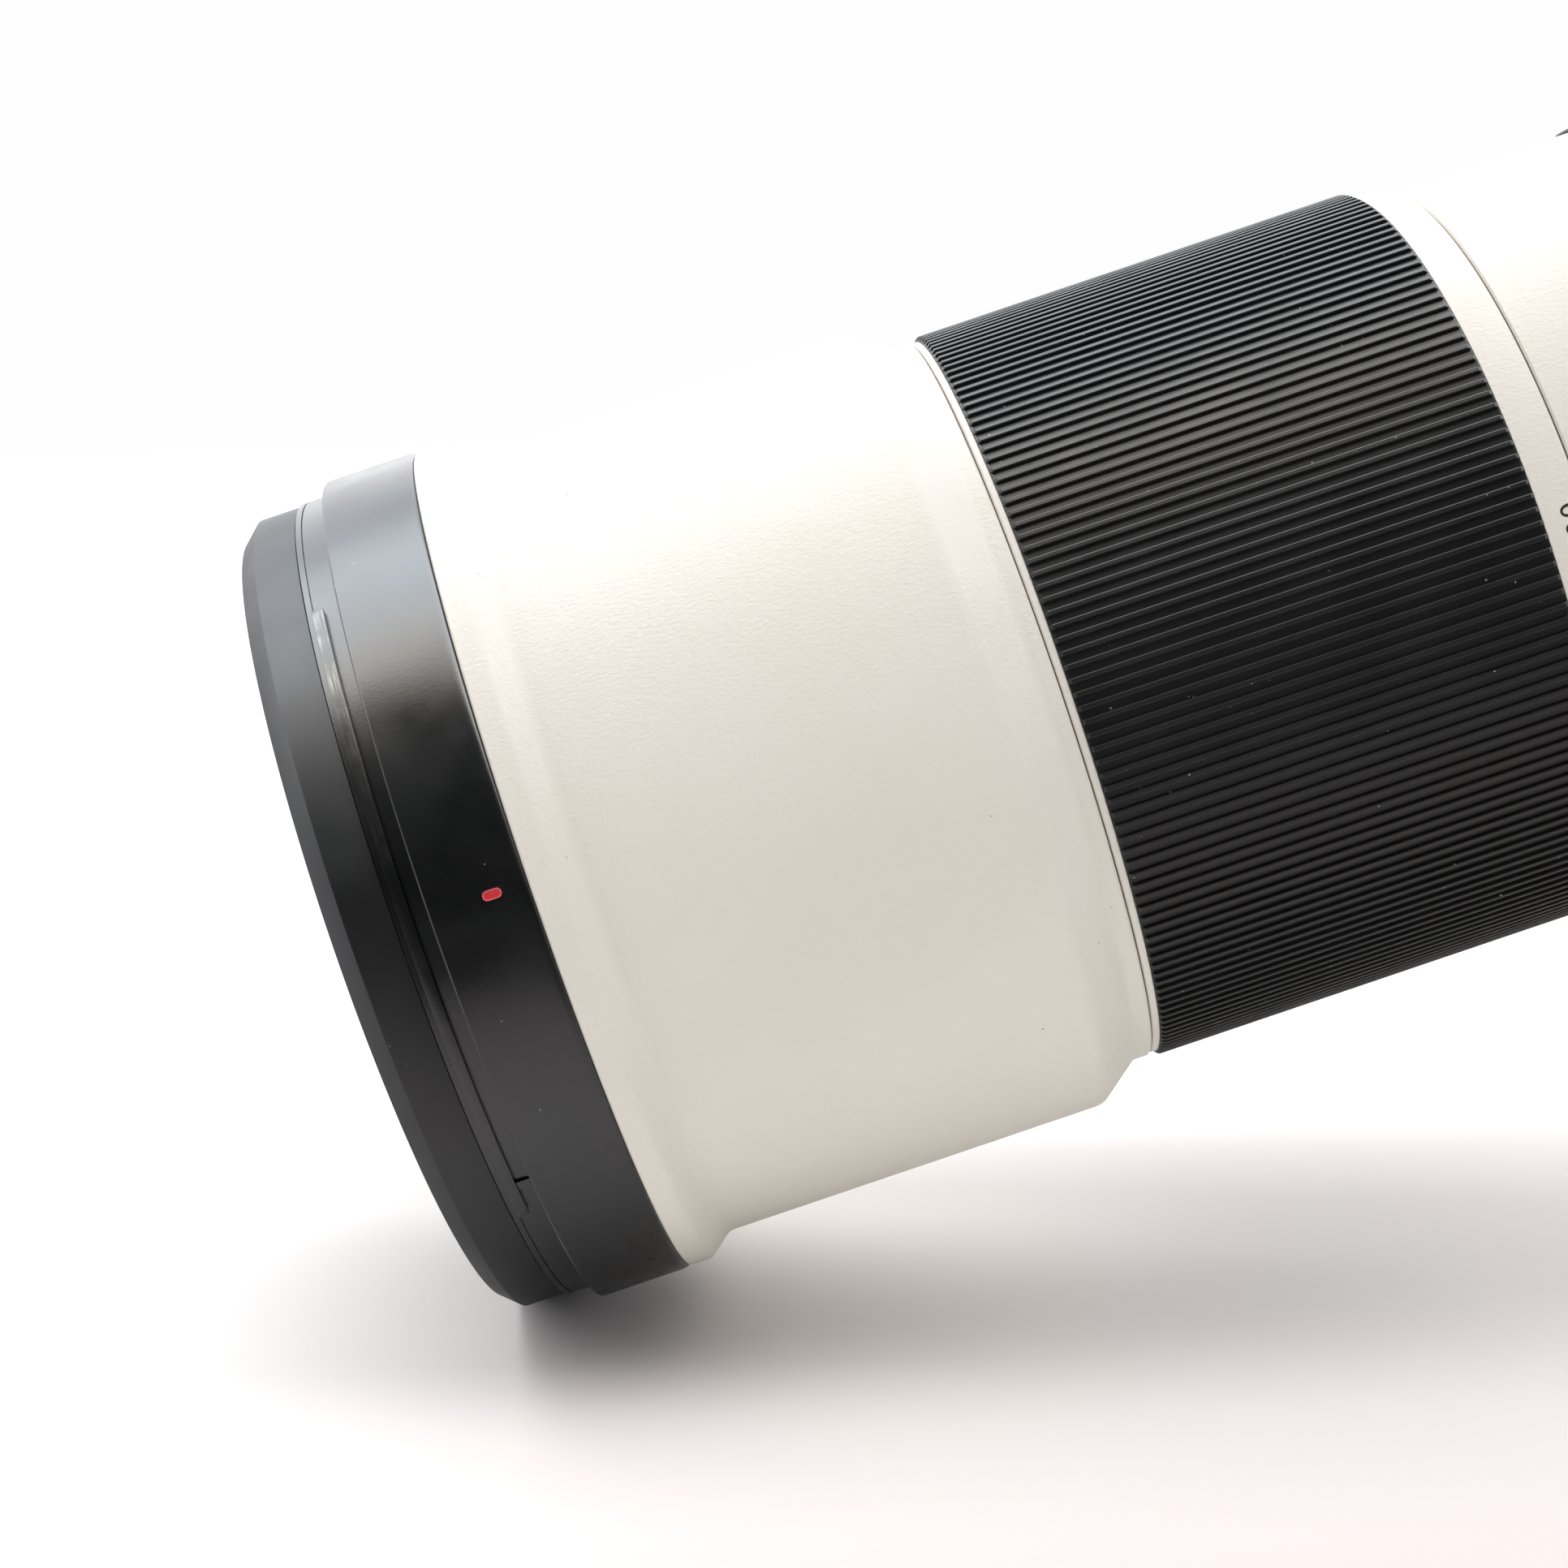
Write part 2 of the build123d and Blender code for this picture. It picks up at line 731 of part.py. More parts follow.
def make_zoom_ring():
    start = x_zoom_start + axial_clearance
    end = x_zoom_end - axial_clearance
    grip_start = start + zoom_lip_length
    grip_end = end - zoom_cone_length
    ring = turned([
        (start, zoom_bore_radius),
        (start, zoom_lip_radius - barrel_edge_bevel),
        (start + barrel_edge_bevel, zoom_lip_radius),
        (grip_start, zoom_lip_radius),
        (grip_start, zoom_sleeve_radius),
        (grip_end, zoom_sleeve_radius),
        (grip_end, zoom_cone_front_radius),
        (end - barrel_edge_bevel, zoom_cone_rear_radius + barrel_edge_bevel),
        (end, zoom_cone_rear_radius),
        (end, zoom_bore_radius),
    ])
    return ring - key_block(zoom_bore_radius - cut_overrun, key_reach)


def make_zoom_grip():
    start = x_zoom_start + axial_clearance + zoom_lip_length
    end = x_zoom_end - axial_clearance - zoom_cone_length
    return ribbed_tube(
        start, end, grip_radius, grip_groove_depth, zoom_sleeve_radius,
        grip_rib_count, grip_rim_length,
    )


def make_group_cell(x_start, length, glass_radius, glass_edge):
    """Sliding cell: an outer skirt joined by a disc to the seat of its glass."""
    disc_start = x_start + (length - cell_disc_thickness) / 2
    disc_end = disc_start + cell_disc_thickness
    seat_start = x_start + (length - glass_edge) / 2
    cell = tube(x_start, x_start + length, group_radius, group_radius - group_wall)
    cell += tube(disc_start, disc_end, group_radius - group_wall, glass_radius)
    cell += tube(seat_start, seat_start + glass_edge, glass_radius + group_wall, glass_radius)
    return cell


def make_rollers(x, first):
    """The rollers of one group, seated in its skirt and reaching into the cam tube."""
    inner = group_radius - group_wall / 2
    pins = []
    for index in range(roller_count):
        pins.append(radial_pin(x, inner, roller_reach, roller_radius, first + index * 360 / roller_count))
    return pins


def make_group(x_middle, first, length, glass_radius, edge, front_curve, rear_curve):
    pins = make_rollers(x_middle, first)
    cell = make_group_cell(x_middle - length / 2, length, glass_radius, edge)
    for pin in pins:
        cell -= pin
    element = glass(x_middle - edge / 2, glass_radius, edge, front_curve, rear_curve)
    return cell, element, Compound(children=pins)


def make_button_barrel():
    start = x_zoom_end + axial_clearance
    end = x_focus_start - axial_clearance
    shell = bevelled_tube(start, end, barrel_radius, main_tube_radius, barrel_edge_bevel)
    outer = barrel_radius + cut_overrun
    well_radius = hold_button_radius + hold_button_gap
    for angle in hold_button_clocks:
        shell -= radial_pin(x_button, button_floor_radius, outer, well_radius, angle)
    return shell


def make_hold_button(angle):
    bottom = button_floor_radius + hold_button_travel + axial_clearance
    top = barrel_radius + hold_button_proud
    cap = Cylinder(hold_button_radius, top - bottom)
    rim = cap.edges().sort_by(Axis.Z)[-1]
    cap = chamfer(rim, hold_button_bevel)
    return clock(angle) * Pos(x_button, 0, (top + bottom) / 2) * cap


def make_focus_ring():
    start = x_focus_start + axial_clearance
    end = x_switch_start - axial_clearance
    return turned([
        (start, zoom_bore_radius),
        (start, focus_lip_radius - barrel_edge_bevel),
        (start + barrel_edge_bevel, focus_lip_radius),
        (start + focus_lip_length, focus_lip_radius),
        (start + focus_lip_length, barrel_radius),
        (end - focus_lip_length, barrel_radius),
        (end - focus_lip_length, focus_lip_radius),
        (end - barrel_edge_bevel, focus_lip_radius),
        (end, focus_lip_radius - barrel_edge_bevel),
        (end, zoom_bore_radius),
    ])


def make_focus_grip():
    start = x_focus_start + axial_clearance + focus_lip_length
    end = x_switch_start - axial_clearance - focus_lip_length
    return ribbed_tube(
        start, end, focus_grip_radius, focus_groove_depth, barrel_radius,
        focus_rib_count, grip_rim_length,
    )


def make_switch_barrel():
    """Fixed barrel under the switch panel; its rear part is the seat of the collar."""
    start = x_switch_start + axial_clearance
    return bevelled_tube(start, x_collar_end, barrel_radius, main_tube_radius, barrel_edge_bevel)


def switch_clock(index):
    middle = (len(switch_travels) - 1) / 2
    return barrel_roll + panel_clock + (index - middle) * switch_pitch_angle


def make_switch_panel():
    middle = (x_switch_start + x_collar_start) / 2
    start = middle - panel_length / 2
    end = middle + panel_length / 2
    top = barrel_radius + panel_height
    plate = arc_tube(start, end, top, barrel_radius, barrel_roll + panel_clock, panel_angle)
    rims = plate.edges().filter_by(lambda edge: on_cylinder(edge, top))
    plate = chamfer(rims, panel_bevel)
    for index, travel in enumerate(switch_travels):
        low = x_switch_rest - switch_length / 2 - switch_end_gap
        high = x_switch_rest + travel + switch_length / 2 + switch_end_gap
        width = switch_width + 2 * switch_side_gap
        plate -= radial_block(low, high, width, main_tube_radius, top + cut_overrun, switch_clock(index))
    return plate


def on_cylinder(edge, radius):
    """True where every part of an edge lies at a radius from the axis."""
    probes = (0, 0.5, 1)
    reach = [math.hypot((edge @ at).Y, (edge @ at).Z) for at in probes]
    return all(abs(value - radius) < radius * edge_tolerance_share for value in reach)


def make_switch(index):
    low = x_switch_rest - switch_length / 2
    bottom = barrel_radius + axial_clearance
    block = Box(switch_length, switch_width, switch_height)
    top_rims = block.faces().sort_by(Axis.Z)[-1].edges()
    block = chamfer(top_rims, switch_bevel)
    middle = bottom + switch_height / 2
    return clock(switch_clock(index)) * Pos(low + switch_length / 2, 0, middle) * block


def make_collar_ring():
    start = x_collar_start + axial_clearance
    end = x_collar_end - axial_clearance
    middle = (start + end) / 2
    ring = bevelled_tube(start, end, collar_radius, collar_bore_radius, collar_bevel)
    boss = radial_pin(middle, barrel_radius, collar_boss_reach, collar_boss_radius, collar_boss_clock)
    pedestal_height = pedestal_reach - barrel_radius
    pedestal = Box(end - start, 2 * pedestal_half_width, pedestal_height)
    pedestal = Pos(middle, 0, -barrel_radius - pedestal_height / 2) * pedestal
    ring = ring + boss + pedestal
    ring -= disc(start - cut_overrun, end + cut_overrun, collar_bore_radius)
    bore = radial_pin(
        middle, barrel_radius, collar_boss_reach + cut_overrun, collar_shaft_radius + running_clearance,
        collar_boss_clock,
    )
    ring -= bore
    ring -= dovetail(x_groove_start, end + cut_overrun, axial_clearance)
    lock_bore = Cylinder(lock_shaft_radius + running_clearance, pedestal_half_width)
    lock_bore = Rot(90, 0, 0) * lock_bore
    return ring - Pos(middle, -pedestal_half_width, lock_knob_height) * lock_bore


def dovetail(start, end, gap):
    """Tongue that hangs from the collar's groove; the groove is wider by the gap."""
    top = -pedestal_reach + dovetail_depth + gap
    ledge = -pedestal_reach + dovetail_ledge - gap
    bottom = -pedestal_reach - cut_overrun
    neck = dovetail_neck_half + gap
    wide = dovetail_half + gap
    profile = make_face(Polyline(
        (-neck, bottom),
        (-neck, ledge),
        (-wide, ledge),
        (-wide, top),
        (wide, top),
        (wide, ledge),
        (neck, ledge),
        (neck, bottom),
        close=True,
    ))
    standing = Plane.YZ * profile
    return Pos(start, 0, 0) * extrude(standing, end - start)


def make_collar_knob():
    """Clamping knob: a ribbed head on a screw that runs in the collar's boss."""
    shaft_end = collar_boss_reach - collar_shaft_grip
    head_start = collar_boss_reach + axial_clearance
    head = ribbed_head(collar_knob_radius, collar_knob_length, collar_knob_ribs)
    x_middle = (x_collar_start + x_collar_end) / 2
    shaft = Pos(0, 0, shaft_end) * Cylinder(
        collar_shaft_radius, head_start - shaft_end, align=(Align.CENTER, Align.CENTER, Align.MIN)
    )
    return clock(collar_boss_clock) * Pos(x_middle, 0, 0) * (shaft + Pos(0, 0, head_start) * head)


def ribbed_head(radius, length, count):
    """Knob head that stands on the XY plane, with grooves along its rim."""
    head = Cylinder(radius, length, align=(Align.CENTER, Align.CENTER, Align.MIN))
    head = chamfer(head.edges().filter_by(GeomType.CIRCLE), knob_edge_bevel)
    for index in range(count):
        groove = Pos(radius, 0, 0) * Cylinder(knob_groove_radius, 2 * length + cut_overrun)
        head -= Rot(0, 0, index * 360 / count) * groove
    return head


def make_foot():
    plate_top = -foot_reach + foot_plate_thickness
    neck_start = x_neck_start
    neck_top = -pedestal_reach - axial_clearance
    x_nose = x_foot_end - foot_length
    bend = foot_bend_radius
    heel = foot_heel_radius
    tip = foot_tip_radius
    outline = Polyline(
        (x_nose, plate_top - tip),
        (x_nose, -foot_reach + foot_nose_rise),
        (x_nose + foot_nose_length, -foot_reach),
        (x_foot_end - heel, -foot_reach),
    )
    outline += CenterArc((x_foot_end - heel, -foot_reach + heel), heel, -90, 90)
    outline += Polyline(
        (x_foot_end, -foot_reach + heel),
        (x_foot_end, neck_top),
        (neck_start, neck_top),
        (neck_start, plate_top + bend),
    )
    outline += CenterArc((neck_start - bend, plate_top + bend), bend, 0, -90)
    outline += Line((neck_start - bend, plate_top), (x_nose + tip, plate_top))
    outline += CenterArc((x_nose + tip, plate_top - tip), tip, 90, 90)
    section = Plane.XZ * make_face(outline)
    foot = extrude(section, foot_half_width, both=True)
    sides = foot.faces().sort_by(Axis.Y)
    foot = chamfer(sides[0].edges() + sides[-1].edges(), foot_edge_bevel)
    foot += dovetail(neck_start, x_foot_end, 0)
    for x_bush in bush_places:
        seat = Cylinder(foot_bush_radius, foot_bush_length)
        foot -= Pos(x_bush, 0, -foot_reach + foot_bush_length / 2) * seat
    return foot


def make_foot_bushes():
    bushes = []
    for x_bush, bore in zip(bush_places, (small_thread_radius, large_thread_radius)):
        bush = Cylinder(foot_bush_radius, foot_bush_length) - Cylinder(bore, foot_bush_length)
        bushes.append(Pos(x_bush, 0, -foot_reach + foot_bush_length / 2) * bush)
    return Compound(children=bushes)


def make_lock_knob():
    """Thumb screw in the pedestal's side; its tip stops short of the dovetail."""
    x_middle = (x_collar_start + x_collar_end) / 2
    head = ribbed_head(lock_knob_radius, lock_knob_length, lock_knob_ribs)
    head_start = pedestal_half_width + axial_clearance
    tip = dovetail_half + 2 * axial_clearance
    shaft = Pos(0, 0, tip) * Cylinder(
        lock_shaft_radius, head_start - tip, align=(Align.CENTER, Align.CENTER, Align.MIN)
    )
    knob = shaft + Pos(0, 0, head_start) * head
    return Pos(x_middle, 0, lock_knob_height) * Rot(90, 0, 0) * knob


def make_stabiliser():
    """Base, cross frame, cell and glass; the frame shifts one way and the cell the other."""
    base_end = x_stabiliser + stabiliser_plate
    frame_start = base_end + axial_clearance
    frame_end = frame_start + stabiliser_plate
    cell_start = frame_end + axial_clearance
    cell_end = cell_start + stabiliser_plate
    base = tube(x_stabiliser, base_end, main_bore_radius, stabiliser_opening_radius)
    frame_opening = stabiliser_opening_radius + stabiliser_travel + free_clearance
    frame = tube(frame_start, frame_end, stabiliser_frame_radius, frame_opening)
    cell = tube(cell_start, cell_end, stabiliser_cell_radius, stabiliser_glass_radius)
    x_glass = cell_start + (stabiliser_plate - stabiliser_glass_edge) / 2
    element = glass(
        x_glass, stabiliser_glass_radius, stabiliser_glass_edge,
        stabiliser_front_curve, stabiliser_rear_curve,
    )
    return base, frame, cell, element


def make_iris():
    """Base cup with the blades parked round the opening, closed by a cover."""
    chamber_start = x_iris + iris_plate
    chamber_end = chamber_start + iris_chamber_length
    base = tube(x_iris, chamber_start, main_bore_radius, iris_opening_radius)
    base += tube(x_iris, chamber_end, main_bore_radius, main_bore_radius - iris_rim_wall)
    cover = tube(chamber_end, chamber_end + iris_plate, main_bore_radius, iris_opening_radius)
    blades = []
    middle_radius = (iris_blade_inner_radius + iris_blade_outer_radius) / 2
    for index in range(iris_blade_count):
        angle = index * 360 / iris_blade_count
        x_blade = chamber_start + axial_clearance + index * iris_blade_pitch
        leaf = arc_tube(
            x_blade, x_blade + iris_blade_thickness, iris_blade_outer_radius, iris_blade_inner_radius,
            angle, iris_blade_angle,
        )
        pin_clock = angle + iris_blade_angle / 2 - iris_blade_tip_angle
        pin = Rot(0, 90, 0) * Cylinder(iris_pin_radius, iris_blade_thickness)
        x_pin = x_blade + iris_blade_thickness / 2
        leaf += clock(pin_clock) * Pos(x_pin, 0, middle_radius) * pin
        blades.append(leaf)
    return base, Compound(children=blades), cover


def make_focus_rods():
    length = x_rear_plate - x_iris_end
    rod = Rot(0, 90, 0) * Cylinder(rod_radius, length)
    rod = Pos(x_iris_end + length / 2, 0, rod_circle_radius) * rod
    return Compound(children=around(rod, 2))


def make_focus_group():
    """Glass in a cell that slides on two rods; two coil arms reach for the motor."""
    cell_end = x_focus_cell + focus_cell_length
    cell_radius = focus_glass_radius + focus_cell_wall
    cell = tube(x_focus_cell, cell_end, cell_radius, focus_glass_radius)
    arm = radial_block(x_focus_cell, cell_end, focus_arm_width, focus_glass_radius, rod_circle_radius)
    coil_reach = focus_motor_inner_radius - free_clearance
    coil = radial_block(x_focus_cell, cell_end, focus_arm_width, focus_glass_radius, coil_reach, 90)
    boss = Rot(0, 90, 0) * Cylinder(focus_boss_radius, focus_boss_length)
    bore = Rot(0, 90, 0) * Cylinder(rod_radius + running_clearance, focus_boss_length + 2 * cut_overrun)
    place = Pos(x_focus_cell + focus_boss_length / 2, 0, rod_circle_radius)
    for shape in around(arm, 2) + around(coil, 2) + around(place * boss, 2):
        cell += shape
    cell -= disc(x_focus_cell - cut_overrun, cell_end + cut_overrun, focus_glass_radius)
    for shape in around(place * bore, 2):
        cell -= shape
    x_glass = x_focus_cell + (focus_cell_length - focus_glass_edge) / 2
    return cell, glass(x_glass, focus_glass_radius, focus_glass_edge, focus_front_curve, focus_rear_curve)


def make_focus_motor():
    """Two fixed magnet bars on the wall of the main tube."""
    start = x_iris_end
    bars = []
    for middle in (90, 270):
        bars.append(arc_tube(
            start, start + focus_motor_length, main_bore_radius, focus_motor_inner_radius,
            middle, focus_motor_angle,
        ))
    return Compound(children=bars)


def make_rear_group():
    plate_end = x_rear_plate + rear_plate_thickness
    cell = tube(x_rear_plate, x_rear_plate + rear_cell_length, rear_cell_radius, rear_glass_radius)
    cell += tube(x_rear_plate, plate_end, main_bore_radius, rear_glass_radius)
    x_first = x_rear_plate + rear_glass_setback
    x_last = x_first + rear_glass_edge + rear_glass_gap
    first = glass(x_first, rear_glass_radius, rear_glass_edge, rear_front_curve, rear_middle_curve)
    last = glass(x_last, rear_glass_radius, rear_glass_edge, rear_last_curve, rear_last_curve)
    return cell, first, last


def make_rear_cover():
    land_end = x_collar_end + rear_cover_land
    tail_start = x_cover_end - rear_cover_tail_length
    wall_start = x_cover_end - rear_cover_end_wall
    cover = turned([
        (x_collar_end - rear_cover_spigot, main_bore_radius),
        (x_collar_end, main_bore_radius),
        (x_collar_end, rear_cover_land_radius - rear_cover_bevel),
        (x_collar_end + rear_cover_bevel, rear_cover_land_radius),
        (land_end, rear_cover_land_radius),
        (tail_start, rear_cover_tail_radius),
        (x_cover_end - rear_cover_bevel, rear_cover_tail_radius),
        (x_cover_end, rear_cover_tail_radius - rear_cover_bevel),
        (x_cover_end, rear_cover_opening_radius),
        (wall_start, rear_cover_opening_radius),
        (wall_start, rear_cover_tail_radius - rear_cover_wall),
        (tail_start, rear_cover_tail_radius - rear_cover_wall),
        (land_end, rear_cover_land_radius - 2 * rear_cover_wall),
        (x_collar_end - rear_cover_spigot, main_bore_radius - rear_cover_wall),
    ])
    for screw in mount_screw_shapes():
        cover -= screw
    return cover


def mount_screw_shapes():
    """Countersunk screws through the mount plate into the rear cover's end wall."""
    tip = x_cover_end - rear_cover_end_wall
    head_start = x_flange - screw_head_depth
    screw = turned([
        (tip, 0),
        (x_flange, 0),
        (x_flange, screw_head_radius),
        (head_start, screw_shank_radius),
        (tip, screw_shank_radius),
    ])
    return around(Pos(0, 0, screw_circle_radius) * screw, screw_count, barrel_roll + screw_first_clock)


def make_lens_mount():
    relief = x_flange - mount_relief_depth
    mount = turned([
        (x_cover_end, mount_throat_radius),
        (x_cover_end, mount_plate_radius),
        (x_flange - mount_edge_bevel, mount_plate_radius),
        (x_flange, mount_plate_radius - mount_edge_bevel),
        (x_flange, mount_relief_radius),
        (relief, mount_relief_radius),
        (relief, mount_neck_radius),
        (x_neck_end, mount_neck_radius),
        (x_neck_end, mount_throat_radius),
    ])
    lug_end = mount_lug_start + mount_lug_thickness
    for middle, span in zip(mount_lug_clocks, mount_lug_angles):
        mount += arc_tube(
            mount_lug_start, lug_end, mount_lug_radius, mount_throat_radius, barrel_roll + middle, span
        )
    for screw in mount_screw_shapes():
        mount -= screw
    return mount


def make_mount_seal():
    return tube(x_cover_end, x_cover_end + seal_length, seal_radius, mount_plate_radius)


def contact_places():
    """Clock angles of the contacts, centred on the block."""
    step = math.degrees(contact_pitch / contact_circle_radius)
    first = barrel_roll + contact_clock - step * (contact_count - 1) / 2
    return [first + index * step for index in range(contact_count)]


def contact_pin_shapes():
    face = x_neck_end + contact_block_proud
    length = contact_sunk + contact_proud
    pin = Rot(0, 90, 0) * Cylinder(contact_radius, length)
    place = Pos(face + (contact_proud - contact_sunk) / 2, 0, contact_circle_radius)
    return [clock(angle) * place * pin for angle in contact_places()]


def contact_block_shape():
    margin = contact_radius + contact_block_margin
    span = math.degrees((contact_pitch * (contact_count - 1) + 2 * margin) / contact_circle_radius)
    start = x_neck_end - baffle_length
    end = x_neck_end + contact_block_proud
    inner = mount_throat_radius - contact_block_depth
    return arc_tube(start, end, mount_throat_radius, inner, barrel_roll + contact_clock, span)


def make_contact_block():
    block = contact_block_shape()
    for pin in contact_pin_shapes():
        block -= pin
    return block


def make_rear_baffle():
    start = x_neck_end - baffle_length
    plate = disc(start, x_neck_end, mount_throat_radius)
    window = Box(baffle_length + 2 * cut_overrun, baffle_width, baffle_height)
    plate -= lens_clock(0) * Pos(start + baffle_length / 2, 0, 0) * window
    return plate - contact_block_shape()


def make_main_board():
    board_end = x_board + board_thickness
    board = tube(x_board, board_end, main_bore_radius - rear_cover_wall, board_inner_radius)
    middle_radius = (main_bore_radius - rear_cover_wall + board_inner_radius) / 2
    chip = Pos(board_end + board_chip_height / 2, 0, middle_radius) * Box(
        board_chip_height, board_chip_size, board_chip_size
    )
    for shape in around(chip, board_chip_count):
        board += shape
    return board


os.makedirs("parts", exist_ok=True)

keep("filter_ring", make_filter_ring())
keep("hood_bayonet_ring", make_hood_bayonet_ring())
keep("hood_index_mark", index_mark_shape())
keep("front_bezel", make_front_bezel())
keep("front_cell", make_front_cell())
for node, element in zip(("front_lens_1", "front_lens_2", "front_lens_3"), make_front_glasses()):
    keep(node, element)
keep("front_barrel", make_front_barrel())
keep("main_tube", make_main_tube())
keep("guide_tube", make_guide_tube())

keep("zoom_ring", make_zoom_ring())
keep("zoom_grip", make_zoom_grip())
keep("zoom_key", make_zoom_key())
keep("cam_tube", make_cam_tube())

variator = make_group(
    x_variator, variator_clock, variator_cell_length, variator_glass_radius,
    variator_glass_edge, variator_front_curve, variator_rear_curve,
)
for node, shape in zip(("variator_cell", "variator_lens", "variator_rollers"), variator):
    keep(node, shape)
compensator = make_group(
    x_compensator, compensator_clock, compensator_cell_length, compensator_glass_radius,
    compensator_glass_edge, compensator_front_curve, compensator_rear_curve,
)
for node, shape in zip(("compensator_cell", "compensator_lens", "compensator_rollers"), compensator):
    keep(node, shape)

stabiliser_nodes = ("stabiliser_base", "stabiliser_frame", "stabiliser_cell", "stabiliser_lens")
for node, shape in zip(stabiliser_nodes, make_stabiliser()):
    keep(node, shape)
for node, shape in zip(("iris_base", "iris_blades", "iris_cover"), make_iris()):
    keep(node, shape)

keep("focus_rods", make_focus_rods())
keep("focus_motor", make_focus_motor())
for node, shape in zip(("focus_cell", "focus_lens"), make_focus_group()):
    keep(node, shape)
for node, shape in zip(("rear_cell", "rear_lens_1", "rear_lens_2"), make_rear_group()):
    keep(node, shape)

keep("button_barrel", make_button_barrel())
for number, angle in enumerate(hold_button_clocks, start=1):
    keep("hold_button_" + str(number), make_hold_button(angle))
keep("focus_ring", make_focus_ring())
keep("focus_grip", make_focus_grip())
keep("switch_barrel", make_switch_barrel())
keep("switch_panel", make_switch_panel())
for index in range(len(switch_travels)):
    keep("switch_" + str(index + 1), make_switch(index))

keep("collar_ring", make_collar_ring())
keep("collar_knob", make_collar_knob())
keep("foot", make_foot())
keep("foot_bushes", make_foot_bushes())
keep("foot_lock_knob", make_lock_knob())

keep("rear_cover", make_rear_cover())
keep("main_board", make_main_board())
keep("lens_mount", make_lens_mount())
keep("mount_screws", Compound(children=mount_screw_shapes()))
keep("mount_seal", make_mount_seal())
keep("rear_baffle", make_rear_baffle())
keep("contact_block", make_contact_block())
keep("contacts", Compound(children=contact_pin_shapes()))
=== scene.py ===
import json
import math

import bmesh
import bpy
from mathutils import Matrix, Vector


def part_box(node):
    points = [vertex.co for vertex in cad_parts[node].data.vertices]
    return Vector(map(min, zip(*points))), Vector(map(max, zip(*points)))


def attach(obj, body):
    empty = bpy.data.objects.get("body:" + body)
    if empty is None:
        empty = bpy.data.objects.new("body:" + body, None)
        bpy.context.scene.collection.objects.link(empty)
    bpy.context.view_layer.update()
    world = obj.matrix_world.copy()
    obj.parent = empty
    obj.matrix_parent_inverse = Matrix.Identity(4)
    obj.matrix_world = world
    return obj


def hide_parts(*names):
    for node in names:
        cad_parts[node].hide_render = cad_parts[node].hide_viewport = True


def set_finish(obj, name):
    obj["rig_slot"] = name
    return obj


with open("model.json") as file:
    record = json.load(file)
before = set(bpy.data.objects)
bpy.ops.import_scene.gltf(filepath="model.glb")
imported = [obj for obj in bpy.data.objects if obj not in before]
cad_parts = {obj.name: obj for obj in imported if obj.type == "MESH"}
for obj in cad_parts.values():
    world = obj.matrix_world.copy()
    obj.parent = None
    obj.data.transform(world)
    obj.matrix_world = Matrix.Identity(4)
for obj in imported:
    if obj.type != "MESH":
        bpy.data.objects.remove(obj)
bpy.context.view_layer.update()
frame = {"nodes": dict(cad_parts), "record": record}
nodes = frame["nodes"]
print("frame loaded:", len(nodes), "nodes")

mm = 0.001
sameSpot = 0.000001  # metres: places nearer than this are the same
barrelRoll = 80.0  # degrees: the lens lies turned in its collar, its top marks look towards -Y
floorTilt = 18.24  # degrees: it stands on its front rim and the nose of its foot


# where a point lies about the lens axis

def clockOf(point):  # degrees, 0 is +Z, 90 is -Y
    return math.degrees(math.atan2(-point.y, point.z))


def outFromAxis(point):
    return math.hypot(point.y, point.z)


# where a CAD node lies, in mm to two places

def frontOf(node):
    return round(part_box(node)[0].x / mm, 2)


def rearOf(node):
    return round(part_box(node)[1].x / mm, 2)


def radiusOf(node):  # its corner that lies farthest from the lens axis
    return round(max(outFromAxis(corner.co) for corner in nodes[node].data.vertices) / mm, 2)


# hands: picking, selecting, placing, joining, rounding

def putDown():
    if bpy.context.mode != "OBJECT":
        bpy.ops.object.mode_set(mode="OBJECT")
    bpy.ops.object.select_all(action="DESELECT")


def pick(piece):
    putDown()
    piece.select_set(True)
    bpy.context.view_layer.objects.active = piece


def settle(piece, name):  # the place goes into the mesh, the object stays at the origin
    pick(piece)
    bpy.ops.object.transform_apply(location=True, rotation=True, scale=True)
    piece.name = name
    piece.data.name = name
    return piece


def selectWhere(piece, kind, wanted):  # while the piece is in edit mode
    shape = bmesh.from_edit_mesh(piece.data)
    bpy.ops.mesh.select_mode(type=kind)
    bpy.ops.mesh.select_all(action="DESELECT")
    for part in {"VERT": shape.verts, "EDGE": shape.edges, "FACE": shape.faces}[kind]:
        if wanted(part):
            part.select_set(True)
    bmesh.update_edit_mesh(piece.data)


def looksUp(face):
    return face.normal.z > 0.9


def cleanShell(piece):
    pick(piece)
    bpy.ops.object.mode_set(mode="EDIT")
    bpy.ops.mesh.select_all(action="SELECT")
    bpy.ops.mesh.remove_doubles(threshold=sameSpot)
    bpy.ops.mesh.normals_make_consistent(inside=False)
    bpy.ops.object.mode_set(mode="OBJECT")


def smooth(piece, angle=32):
    pick(piece)
    bpy.ops.object.shade_smooth_by_angle(angle=math.radians(angle))


def roundEdges(piece, width, steps=3, angle=25):
    pick(piece)
    rounding = piece.modifiers.new("rounding", "BEVEL")
    rounding.width = width * mm
    rounding.segments = steps
    rounding.limit_method = "ANGLE"
    rounding.angle_limit = math.radians(angle)
    bpy.ops.object.modifier_apply(modifier=rounding.name)


def carve(piece, cutter):
    pick(piece)
    cut = piece.modifiers.new("cut", "BOOLEAN")
    cut.object = cutter
    cut.operation = "DIFFERENCE"
    cut.solver = "EXACT"
    bpy.ops.object.modifier_apply(modifier=cut.name)
    bpy.data.objects.remove(cutter)


